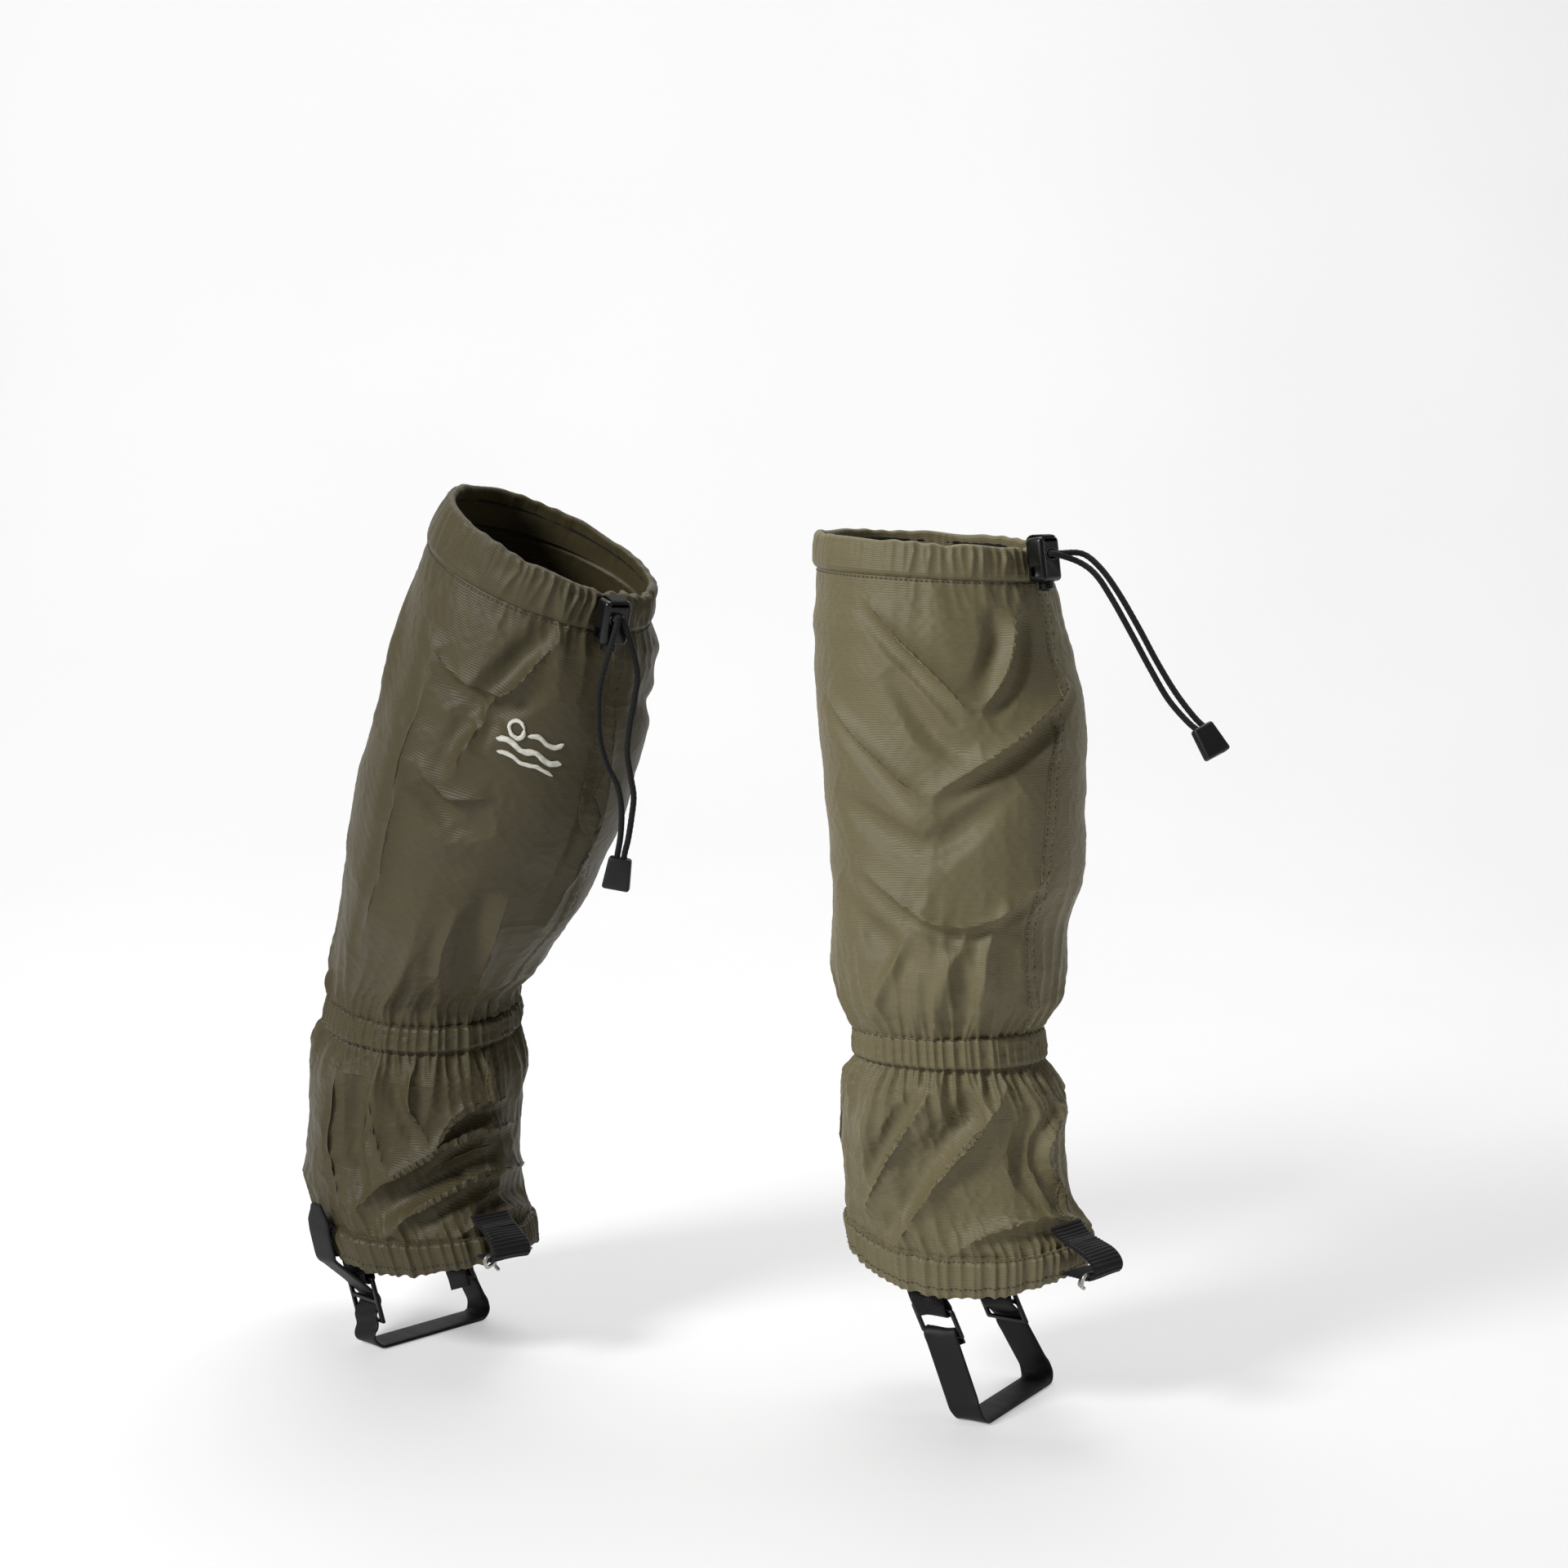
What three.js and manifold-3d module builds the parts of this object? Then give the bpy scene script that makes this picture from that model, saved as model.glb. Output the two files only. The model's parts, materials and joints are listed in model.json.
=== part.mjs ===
// A pair of closed mountaineering gaiters in the shape they take when worn.
// Each gaiter is a fabric leg tube with a drawcord casing and cord lock at the
// top, an elastic casing at the ankle, a gathered boot cover with an elastic
// hem, a front tab with a wire lace hook, and an adjustable stirrup strap.
// Units are millimetres, +Z is up, the undersides of the straps are at z = 0.
import * as THREE from "three";
import { mergeVertices } from "three/addons/utils/BufferGeometryUtils.js";
import { RoundedBoxGeometry } from "three/addons/geometries/RoundedBoxGeometry.js";
import Module from "manifold-3d";

const wasm = await Module();
wasm.setup();

// ---------------------------------------------------------------- dimensions
const SEGMENTS = 20; // facets round each fabric tube
const FABRIC = 1.4; // wall of the plain fabric solids
const GAP = 0.4; // between neighbouring solids
const CASING_WIDTH = 6.8; // width of the drawcord channel over both walls
const CORD_R = 1.7; // elastic drawcord radius
const STRAP_WIDTH = 20;
const STRAP_T = 2.0;
const TAB_WIDTH = 20;
const HOOK_WEBBING_WIDTH = 25;
const WEBBING_T = 1.4;
const SEAM_WIDTH = 9;
const STRAP_HALF = 45; // half the span of the strap under the sole
const HEM_DROP = 12; // how far the hem hangs lower at the sides
const LOCK_W = 17, LOCK_H = 25, LOCK_D = 12;
const BUTTON_R = 4.4, BUTTON_TRAVEL = 4;
const HOOK_WIRE_R = 1.1;

// Cross-sections, top to bottom: centre x, y, z, half width, half length,
// and the slopes of the section's plane along x and y.
const LEFT = {
  side: "left", heading: 30, inner: -1,
  rings: [
    [84.8, -100.7, 495.7, 63.9, 67.7, -0.05, -0.08], [85.1, -102.9, 476.0, 65.9, 69.9, -0.04, -0.08],
    [89.1, -106.4, 443.8, 69.6, 75.2, -0.01, -0.09], [93.6, -109.5, 415.7, 72.8, 80.1, -0.01, -0.10],
    [96.0, -112.5, 388.4, 73.7, 81.1, 0, -0.11], [97.5, -115.6, 360.7, 72.5, 79.8, 0, -0.12],
    [98.8, -119.1, 328.2, 71.1, 78.2, 0, -0.13], [98.2, -122.2, 300.3, 69.2, 76.1, 0, -0.13],
    [95.0, -124.8, 277.1, 64.9, 71.4, 0, -0.13], [95.3, -127.3, 253.8, 63.5, 69.8, 0, -0.13],
    [95.2, -129.5, 234.1, 59.0, 64.9, 0, -0.12], [93.8, -131.5, 217.9, 49.4, 55.3, 0.01, -0.10],
    [94.6, -132.0, 201.7, 49.0, 56.2, 0, -0.07], [94.9, -132.1, 191.9, 52.9, 63.5, 0.01, -0.03],
    [96.6, -133.1, 175.0, 53.4, 69.4, 0.02, 0], [96.6, -133.1, 151.1, 50.8, 71.1, 0.03, 0.03],
    [99.1, -134.5, 128.6, 48.8, 72.2, 0.03, 0.05], [105.2, -138.1, 107.5, 48.9, 75.7, 0.04, 0.06],
    [106.3, -138.7, 88.8, 47.3, 73.3, 0.03, 0.08],
  ],
  waist: 11, // index of the section at the ankle casing's upper edge
  seam: [[0, -3], [2, -4], [5, -18], [7, -22], [9, -22], [11, -10], [13, -13], [15, -8], [18, -4]],
  tabForward: -11, strapForward: 26, tabSide: 35.5, hingeZ: 75, tail: [[49.6, 0], [50.6, 12], [52.4, 24]],
  lock: [0.45, -10, 0.27], hook: [16.7, -17, 32], drop: 0.49,
};
const RIGHT = {
  side: "right", heading: 46, inner: 1,
  rings: [
    [-130.0, -115.7, 496.6, 56.7, 60.1, -0.44, 0.17], [-138.1, -107.3, 473.1, 62.8, 66.6, -0.34, 0.17],
    [-139.7, -105.6, 457.2, 67.4, 71.5, -0.31, 0.17], [-144.5, -100.7, 430.0, 71.1, 76.8, -0.27, 0.17],
    [-152.6, -92.3, 400.2, 72.8, 80.1, -0.22, 0.16], [-160.3, -84.3, 371.4, 74.8, 82.3, -0.18, 0.16],
    [-169.4, -74.9, 340.8, 74.8, 82.3, -0.15, 0.15], [-178.8, -65.2, 312.2, 72.8, 80.1, -0.12, 0.14],
    [-187.3, -56.4, 285.2, 69.8, 76.8, -0.11, 0.14], [-196.0, -47.4, 261.8, 65.2, 71.7, -0.07, 0.13],
    [-204.8, -38.2, 239.3, 59.1, 65.0, -0.05, 0.13], [-212.6, -30.2, 223.7, 54.5, 59.9, -0.03, 0.12],
    [-214.7, -28.0, 211.4, 53.6, 60.0, -0.01, 0.12], [-216.8, -25.8, 195.2, 55.4, 63.7, 0.02, 0.10],
    [-218.5, -24.0, 176.1, 60.2, 72.3, 0, 0.08], [-220.6, -21.8, 149.0, 60.3, 75.4, 0.02, 0.06],
    [-223.9, -18.5, 120.0, 59.5, 77.4, 0.05, 0.06], [-224.1, -18.3, 97.7, 60.7, 80.7, 0.03, 0.05],
    [-218.4, -24.2, 80.8, 58.0, 78.3, 0.04, 0.05], [-212.7, -30.1, 67.7, 55.0, 74.2, 0.03, 0.05],
  ],
  waist: 12,
  seam: [[0, 2], [3, -2], [5, -6], [7, 12], [9, 8], [12, 6], [14, -3], [17, -5], [19, 2]],
  tabForward: -29, strapForward: -7, tabSide: 37, hingeZ: 54, tail: [[56.0, 0], [60.5, 18], [62.6, 36]],
  lock: [0.62, -10, 0.05], hook: [17.3, -10, 28], drop: 0.41,
};
// Routes of the two drawcord strands from the lock's mouth to the cord end, and
// the cord end's centre line.
const STRANDS = {
  left: {
    a: [[157.7, -146.3, 495.4], [165.2, -150.5, 492.8], [174.8, -156.1, 485.8], [184.5, -161.7, 472.9], [195.5, -168.1, 454.3], [205.7, -173.9, 435.6], [215.8, -179.8, 419.3], [225.8, -185.6, 406.7]],
    b: [[156.6, -150.0, 491.3], [163.2, -153.8, 488.6], [172.4, -159.1, 482.1], [181.2, -164.2, 469.2], [191.8, -170.3, 450.5], [202.0, -176.2, 431.9], [211.6, -181.8, 416.0], [222.1, -187.8, 404.4]],
    end: [[228.0, -189.0, 404.0], [235.9, -193.6, 391.0]],
  },
  right: {
    a: [[-94.9, -175.4, 451.9], [-98.2, -172.6, 440.2], [-101.1, -170.6, 424.0], [-102.6, -169.5, 406.5], [-102.0, -166.5, 390.3], [-98.1, -164.9, 375.7], [-92.8, -164.6, 364.6], [-90.6, -164.8, 351.6], [-91.1, -164.7, 337.2], [-92.9, -164.6, 326.0]],
    b: [[-85.1, -170.8, 453.5], [-82.6, -167.4, 444.0], [-81.3, -165.9, 430.2], [-82.8, -165.6, 414.1], [-85.7, -165.4, 398.0], [-87.1, -165.3, 383.6], [-85.4, -165.3, 370.3], [-83.7, -165.5, 358.7], [-85.1, -165.3, 345.7], [-87.0, -165.2, 334.0], [-89.0, -165.0, 326.0]],
    end: [[-91.0, -164.8, 325.3], [-94.2, -164.3, 306.0]],
  },
};

// ------------------------------------------------------------------ materials
const mat = (color, roughness, metalness) => new THREE.MeshStandardMaterial({ color, roughness, metalness });
const M = {
  fabric_left: () => mat(0x77705a, 0.55, 0), fabric_right: () => mat(0x625b46, 0.55, 0),
  elastic: () => mat(0x2b2b2b, 0.9, 0), webbing: () => mat(0x1b1b1d, 0.8, 0), strap: () => mat(0x202022, 0.45, 0),
  plastic: () => mat(0x17171a, 0.4, 0), cord: () => mat(0x161616, 0.85, 0), steel: () => mat(0x8a8c90, 0.3, 1),
  thread: () => mat(0xe6e4dc, 0.7, 0),
};

const rad = (d) => (d * Math.PI) / 180;
const V = (x, y, z) => new THREE.Vector3(x, y, z);

// ------------------------------------------------------------ fabric surfaces
const lerpRow = (g, s) => {
  const i = Math.min(Math.floor(s), g.rings.length - 2), t = s - i;
  return g.rings[i].map((v, k) => v + (g.rings[i + 1][k] - v) * t);
};
const seamAngle = (g, s) => {
  const t = g.seam;
  for (let i = 0; i < t.length - 1; i++)
    if (s <= t[i + 1][0]) return t[i][1] + ((t[i + 1][1] - t[i][1]) * (s - t[i][0])) / (t[i + 1][0] - t[i][0]);
  return t[t.length - 1][1];
};
const forwardOf = (g) => V(Math.cos(rad(g.heading)), -Math.sin(rad(g.heading)), 0);
const leftOf = (g) => V(Math.sin(rad(g.heading)), Math.cos(rad(g.heading)), 0);
// Point of gaiter g at section s, angle phi from straight ahead, moved out by off.
const surf = (g, s, phi, off = 0) => {
  const [cx, cy, cz, a, b, sx, sy] = lerpRow(g, s), f = forwardOf(g), l = leftOf(g);
  const u = (b + off) * Math.cos(phi), w = (a + off) * Math.sin(phi);
  const dx = f.x * u + l.x * w, dy = f.y * u + l.y * w;
  const last = g.rings.length - 1, low = Math.max(0, Math.min(1, (s - (last - 3)) / 3));
  return V(cx + dx, cy + dy, cz + sx * dx + sy * dy - HEM_DROP * low * low * Math.sin(phi) ** 2);
};
// A closed solid from a grid of points: rows of loops, closed both ways when ring is set.
const gridSolid = (loops) => {
  // loops[j][i]: i round the tube, j round the section
  const n = loops[0].length, m = loops.length, pos = [], idx = [];
  for (const loop of loops) for (const p of loop) pos.push(p.x, p.y, p.z);
  for (let j = 0; j < m; j++)
    for (let i = 0; i < n; i++) {
      const a = j * n + i, b = j * n + ((i + 1) % n), c = ((j + 1) % m) * n + ((i + 1) % n), d = ((j + 1) % m) * n + i;
      idx.push(a, b, c, a, c, d);
    }
  const geo = new THREE.BufferGeometry();
  geo.setAttribute("position", new THREE.Float32BufferAttribute(pos, 3));
  geo.setIndex(idx);
  return outward(geo);
};
const volumeOf = (geo) => {
  const p = geo.getAttribute("position"), x = geo.index.array;
  let v = 0;
  const a = V(0, 0, 0), b = V(0, 0, 0), c = V(0, 0, 0);
  for (let i = 0; i < x.length; i += 3) {
    a.fromBufferAttribute(p, x[i]); b.fromBufferAttribute(p, x[i + 1]); c.fromBufferAttribute(p, x[i + 2]);
    v += a.dot(b.clone().cross(c)) / 6;
  }
  return v;
};
const outward = (geo) => {
  if (volumeOf(geo) < 0) {
    const x = geo.index.array;
    for (let i = 0; i < x.length; i += 3) [x[i + 1], x[i + 2]] = [x[i + 2], x[i + 1]];
  }
  geo.computeVertexNormals();
  return geo;
};
const angles = Array.from({ length: SEGMENTS }, (_, i) => (i * 2 * Math.PI) / SEGMENTS);
// A fabric tube through the sections in list, between two offsets from the surface.
const tube = (g, list, outer, inner) =>
  gridSolid([
    ...list.map((s) => angles.map((p) => surf(g, s, p, outer))),
    ...[...list].reverse().map((s) => angles.map((p) => surf(g, s, p, inner))),
  ]);
// A band whose section is a closed polygon of [s, off] pairs.
const band = (g, poly) => gridSolid(poly.map(([s, off]) => angles.map((p) => surf(g, s, p, off))));
// A narrow strip that follows the front seam over the sections in list.
const seamStrip = (g, list, width, lo, hi) => {
  const at = (s, k, off) => {
    const row = lerpRow(g, s);
    return surf(g, s, rad(seamAngle(g, s)) + (k * width) / 2 / row[3], off);
  };
  const loops = [];
  for (const s of list) loops.push([at(s, -1, lo), at(s, 1, lo), at(s, 1, hi), at(s, -1, hi)]);
  const pos = [], idx = [];
  for (const l of loops) for (const p of l) pos.push(p.x, p.y, p.z);
  const m = loops.length;
  for (let j = 0; j < m - 1; j++)
    for (let i = 0; i < 4; i++) {
      const a = j * 4 + i, b = j * 4 + ((i + 1) % 4), c = (j + 1) * 4 + ((i + 1) % 4), d = (j + 1) * 4 + i;
      idx.push(a, b, c, a, c, d);
    }
  idx.push(0, 2, 1, 0, 3, 2);
  const k = (m - 1) * 4;
  idx.push(k, k + 1, k + 2, k, k + 2, k + 3);
  const geo = new THREE.BufferGeometry();
  geo.setAttribute("position", new THREE.Float32BufferAttribute(pos, 3));
  geo.setIndex(idx);
  return outward(geo);
};

// ------------------------------------------------------------------- booleans
const toSolid = (geo) => {
  const g = geo.clone();
  for (const k of ["normal", "uv"]) g.deleteAttribute(k);
  const m = mergeVertices(g, 1e-4);
  return new wasm.Manifold(new wasm.Mesh({ numProp: 3, vertProperties: new Float32Array(m.attributes.position.array), triVerts: new Uint32Array(m.index.array) }));
};
const toGeo = (solid) => {
  const m = solid.getMesh(), geo = new THREE.BufferGeometry();
  geo.setAttribute("position", new THREE.BufferAttribute(new Float32Array(m.vertProperties), 3));
  geo.setIndex(new THREE.BufferAttribute(new Uint32Array(m.triVerts), 1));
  geo.computeVertexNormals();
  return geo;
};
const cut = (geo, ...tools) => toGeo(tools.reduce((s, t) => s.subtract(toSolid(t)), toSolid(geo)));
const join = (geo, ...more) => toGeo(more.reduce((s, t) => s.add(toSolid(t)), toSolid(geo)));
const box = (x0, x1, y0, y1, z0, z1) => new THREE.BoxGeometry(x1 - x0, y1 - y0, z1 - z0).translate((x0 + x1) / 2, (y0 + y1) / 2, (z0 + z1) / 2);
const cyl = (r, h, n = 16) => new THREE.CylinderGeometry(r, r, h, n);
// A ribbon of thickness t along the points of a planar path, made width wide.
const ribbon = (path, t, width) => {
  const pts = path.map(([x, y]) => new THREE.Vector2(x, y)), side = (sgn) =>
    pts.map((p, i) => {
      const a = pts[Math.max(0, i - 1)], b = pts[Math.min(pts.length - 1, i + 1)];
      const d0 = i > 0 ? p.clone().sub(a).normalize() : b.clone().sub(p).normalize();
      const d1 = i < pts.length - 1 ? b.clone().sub(p).normalize() : d0;
      const n = new THREE.Vector2(-(d0.y + d1.y), d0.x + d1.x).normalize();
      const k = t / 2 / Math.max(0.35, n.dot(new THREE.Vector2(-d0.y, d0.x)));
      return p.clone().addScaledVector(n, sgn * k);
    });
  const shape = new THREE.Shape([...side(1), ...side(-1).reverse()]);
  const geo = new THREE.ExtrudeGeometry(shape, { depth: width, bevelEnabled: false, steps: 1 });
  return geo.translate(0, 0, -width / 2);
};
const cord = (points, r, steps, sides = 8) => {
  const circle = new THREE.Shape(Array.from({ length: sides }, (_, i) => new THREE.Vector2(r * Math.cos((i * 2 * Math.PI) / sides), r * Math.sin((i * 2 * Math.PI) / sides))));
  return new THREE.ExtrudeGeometry(circle, { steps, bevelEnabled: false, extrudePath: new THREE.CatmullRomCurve3(points, false, "centripetal") });
};

const pair = new THREE.Group();
const cordNames = new Set();
const put = (group, name, geo, material, matrix) => {
  const mesh = new THREE.Mesh(geo, material);
  mesh.name = name;
  if (matrix) mesh.applyMatrix4(matrix);
  group.add(mesh);
  return mesh;
};
const basis = (o, x, y, z) => new THREE.Matrix4().makeBasis(x, y, z).setPosition(o);

// --------------------------------------------------------------- one gaiter
const makeGaiter = (g) => {
  const group = new THREE.Group(), n = (t) => g.side + "_" + t;
  const fabric = M["fabric_" + g.side];
  const W = g.waist, E = g.rings.length - 1, F = forwardOf(g), L = leftOf(g), UP = V(0, 0, 1);

  // fabric tubes
  const legRows = [1.03];
  for (let i = 2; i < W; i++) legRows.push(i);
  legRows.push(W - 0.1);
  put(group, n("leg_panel"), tube(g, legRows, 0, -FABRIC), fabric());
  const C = CASING_WIDTH;
  put(group, n("top_casing"), band(g, [[0.99, 0], [0, 0], [0, -C], [0.8, -C], [0.8, -C + 0.8], [0.06, -C + 0.8], [0.06, -0.8], [0.99, -0.8]]), fabric());
  const s0 = rad(seamAngle(g, 0.3)), round = [];
  for (let i = 0; i <= 30; i++) round.push(surf(g, 0.3, s0 + rad(6) + (i * rad(348)) / 30, -C / 2));
  put(group, n("drawcord_loop"), cord(round, CORD_R - 0.2, 36, 6), M.cord());
  put(group, n("ankle_casing"), band(g, [[W, 0.6], [W + 1, 0.6], [W + 1, -0.6], [W, -0.6]]), fabric());
  put(group, n("ankle_elastic"), band(g, [[W + 0.1, -1.0], [W + 0.9, -1.0], [W + 0.9, -2.4], [W + 0.1, -2.4]]), M.elastic());
  const bootRows = [W + 1.12];
  for (let i = W + 2; i < E; i++) bootRows.push(i);
  const hemTop = E - 0.55;
  bootRows.push(hemTop - 0.04);
  put(group, n("boot_panel"), tube(g, bootRows, 0, -FABRIC), fabric());
  put(group, n("hem_casing"), band(g, [[hemTop, 0], [E, 0], [E, -5.2], [hemTop, -5.2], [hemTop, -4.4], [E - 0.07, -4.4], [E - 0.07, -0.8], [hemTop, -0.8]]), fabric());
  put(group, n("hem_elastic"), band(g, [[hemTop + 0.04, -1.3], [E - 0.14, -1.3], [E - 0.14, -3.8], [hemTop + 0.04, -3.8]]), M.elastic());
  put(group, n("front_seam_upper"), seamStrip(g, legRows, SEAM_WIDTH, 0.9, 1.9), fabric());
  put(group, n("front_seam_lower"), seamStrip(g, bootRows.filter((s) => s < g.hook[0] - 0.4).concat([g.hook[0] - 0.4]), SEAM_WIDTH, 0.9, 1.9), fabric());

  // cord lock: z up the lock, y out of the leg
  const lp = rad(g.lock[1]);
  const along = surf(g, g.lock[0] - 0.3, lp).sub(surf(g, g.lock[0] + 0.5, lp)).normalize();
  const round1 = surf(g, g.lock[0], lp + 0.06).sub(surf(g, g.lock[0], lp - 0.06)).normalize();
  const out = round1.clone().cross(along).normalize();
  const side = new THREE.Vector3().crossVectors(out, along).normalize(), up = along;
  const centre = surf(g, g.lock[0], lp).addScaledVector(out, LOCK_D / 2 + 2.0);
  const lockM = basis(centre, side, out, up);
  const hz = LOCK_H / 2, hd = LOCK_D / 2;
  const body = cut(
    new RoundedBoxGeometry(LOCK_W, LOCK_D, LOCK_H, 1, 2.2),
    cyl(BUTTON_R + 0.4, 21.5, 16).rotateX(Math.PI / 2).translate(0, 0, -hz - 1 + 10.75 - 0.0),
    box(-4.2, 4.2, -hd - 1, hd + 1, 0.4, 4.6),
    box(-5.5, 5.5, -hd - 1, hd + 1, hz - 3.0, hz - 1.4),
  );
  put(group, n("lock_body"), body, M.plastic(), lockM);
  const plunger = cut(cyl(BUTTON_R, 19.5, 16).rotateX(Math.PI / 2).translate(0, 0, -hz - BUTTON_TRAVEL + 9.75), box(-3.9, 3.9, -8, 8, -3.6, 0.6));
  put(group, n("lock_button"), plunger, M.plastic(), lockM);
  const sp = new THREE.Shape(Array.from({ length: 12 }, (_, i) => new THREE.Vector2(3.6 * Math.cos((i * Math.PI) / 6), 3.6 * Math.sin((i * Math.PI) / 6))));
  sp.holes.push(new THREE.Path(Array.from({ length: 12 }, (_, i) => new THREE.Vector2(2.4 * Math.cos((-i * Math.PI) / 6), 2.4 * Math.sin((-i * Math.PI) / 6)))));
  put(group, n("lock_spring"), new THREE.ExtrudeGeometry(sp, { depth: 4.2, bevelEnabled: false, steps: 1 }).translate(0, 0, 3.4), M.steel(), lockM);
  put(group, n("lock_tab"), new RoundedBoxGeometry(13, 1.0, 15, 1, 0.3).translate(0, -hd - 1.1, hz - 3), M.webbing(), lockM);

  // drawcord strands and their end
  const st = STRANDS[g.side], mouth = (x, y, z) => V(x, y, z).applyMatrix4(lockM);
  for (const [k, x, pts] of [["a", 2.2 * g.inner, st.a], ["b", -2.2 * g.inner, st.b]]) {
    const route = [mouth(x, hd + GAP, 2.5), mouth(x, hd + GAP + 3, 2.3), ...pts.slice(g.side === "left" ? 1 : 2).map((p) => V(...p))];
    put(group, n("drawcord_strand_" + k), cord(route, CORD_R, 17), M.cord());
    cordNames.add(n("drawcord_strand_" + k));
  }
  const e0 = V(...st.end[0]), down = V(...st.end[1]).sub(e0).normalize();
  const across = V(...st.a[st.a.length - 1]).sub(V(...st.b[st.b.length - 1]));
  across.addScaledVector(down, -across.dot(down)).normalize();
  const endM = basis(e0.clone().addScaledVector(down, CORD_R * 0.6 + 0.6), across, new THREE.Vector3().crossVectors(down, across), down);
  const trap = new THREE.Shape([[-6.4, 0], [6.4, 0], [7.9, 15.5], [6.9, 18.6], [-6.9, 18.6], [-7.9, 15.5]].map(([x, y]) => new THREE.Vector2(x, y)));
  const shellGeo = new THREE.ExtrudeGeometry(trap, { depth: 6, bevelEnabled: true, bevelThickness: 0.8, bevelSize: 0.6, bevelSegments: 1, steps: 1 }).translate(0, 0, -3).rotateX(Math.PI / 2);
  put(group, n("cord_end_shell"), cut(shellGeo, box(-4.6, 4.6, -2.4, 2.4, -3, 22)), M.plastic(), endM);
  put(group, n("cord_end_insert"), box(-4.2, 4.2, -2.0, 2.0, 4, 18.8), M.plastic(), endM);
  cordNames.add(n("cord_end_shell"));
  cordNames.add(n("cord_end_insert"));

  // front tab: y out of the leg, x across it
  const hp = rad(g.hook[1]), reach = g.hook[2];
  const ho = F.clone().multiplyScalar(Math.cos(hp)).addScaledVector(L, Math.sin(hp)), hs = new THREE.Vector3().crossVectors(UP, ho);
  const hookO = surf(g, g.hook[0], hp, 0);
  // section path in (out, up), extruded across
  const tabPath = [[3.2, 1.5], [12, -2.5], [reach - 2, -12.6], [reach + 0.6, -14.6], [reach + 0.8, -17.2], [reach - 1.6, -18.6], [12, -20.4]];
  const hookM = basis(hookO, ho, UP, new THREE.Vector3().crossVectors(ho, UP));
  put(group, n("hook_webbing"), ribbon(tabPath, WEBBING_T, HOOK_WEBBING_WIDTH), M.webbing(), hookM);
  const bar = [reach - 2.2, -15.8];
  const wire = [[bar[0], bar[1], -15], [bar[0], bar[1], -8], [bar[0], bar[1], 0], [bar[0], bar[1], 8], [bar[0], bar[1], 14], [bar[0] - 0.6, bar[1] - 2.6, 16], [bar[0] - 5, bar[1] - 8.2, 12], [bar[0] - 12, bar[1] - 10, 5], [bar[0] - 17, bar[1] - 10.4, 0], [bar[0] - 19, bar[1] - 13.4, -1.5], [bar[0] - 16, bar[1] - 15.2, -2]];
  put(group, n("lace_hook"), cord(wire.map((p) => V(...p)), HOOK_WIRE_R, 24, 8), M.steel(), hookM);

  // stirrup: x forward, y left, z up, from the middle of the hem at ground level
  const hem = g.rings[E], base = V(hem[0], hem[1], 0), zh = g.hingeZ, zb = zh - 14, w0 = g.tabSide, I = g.inner;
  const place = (geo) => {
    const p = geo.getAttribute("position");
    for (let i = 0; i < p.count; i++) p.setX(i, p.getX(i) + g.drop * Math.max(0, zh - p.getZ(i)));
    return geo;
  };
  const stirM = basis(base.clone().addScaledVector(F, g.tabForward), F, L, UP);
  // a ribbon drawn in (across, up) and extruded forward
  const acrossRibbon = (path, t, width) => ribbon(path, t, width).applyMatrix4(new THREE.Matrix4().makeBasis(V(0, 1, 0), V(0, 0, 1), V(1, 0, 0)));
  const fold = (k, wc, top, bottom, zc, o) => [[k * (wc + o), top], [k * (wc + o), zc], [k * (wc + o * 0.7), zc - o * 0.8], [k * wc, zc - o * 1.1], [k * (wc - o * 0.7), zc - o * 0.8], [k * (wc - o), zc], [k * (wc - o), bottom]];
  const tabRib = (k) => place(acrossRibbon(fold(k, w0, zh + 7, zh - 2, zb, 2.5), WEBBING_T, TAB_WIDTH));
  put(group, n("inner_strap_tab"), tabRib(I), M.webbing(), stirM);
  put(group, n("outer_strap_tab"), tabRib(-I), M.webbing(), stirM);
  // plain frames with bars across the strap
  const frame = (k, bars, hw, ht) => {
    let f = box(-13.5, 13.5, k * w0 - ht / 2, k * w0 + ht / 2, bars[bars.length - 1] - hw, bars[0] + hw);
    for (let i = 0; i < bars.length - 1; i++) f = cut(f, box(-10.8, 10.8, k * w0 - 5, k * w0 + 5, bars[i + 1] + hw, bars[i] - hw));
    return place(f);
  };
  const ringBars = [zb, zb - 13];
  put(group, n("inner_strap_ring"), frame(I, ringBars, 1.2, 2.6), M.plastic(), stirM);
  const buckleBars = [zb, zb - 13, zb - 24];
  put(group, n("strap_buckle"), frame(-I, buckleBars, 1.1, 2.6), M.plastic(), stirM);
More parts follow.
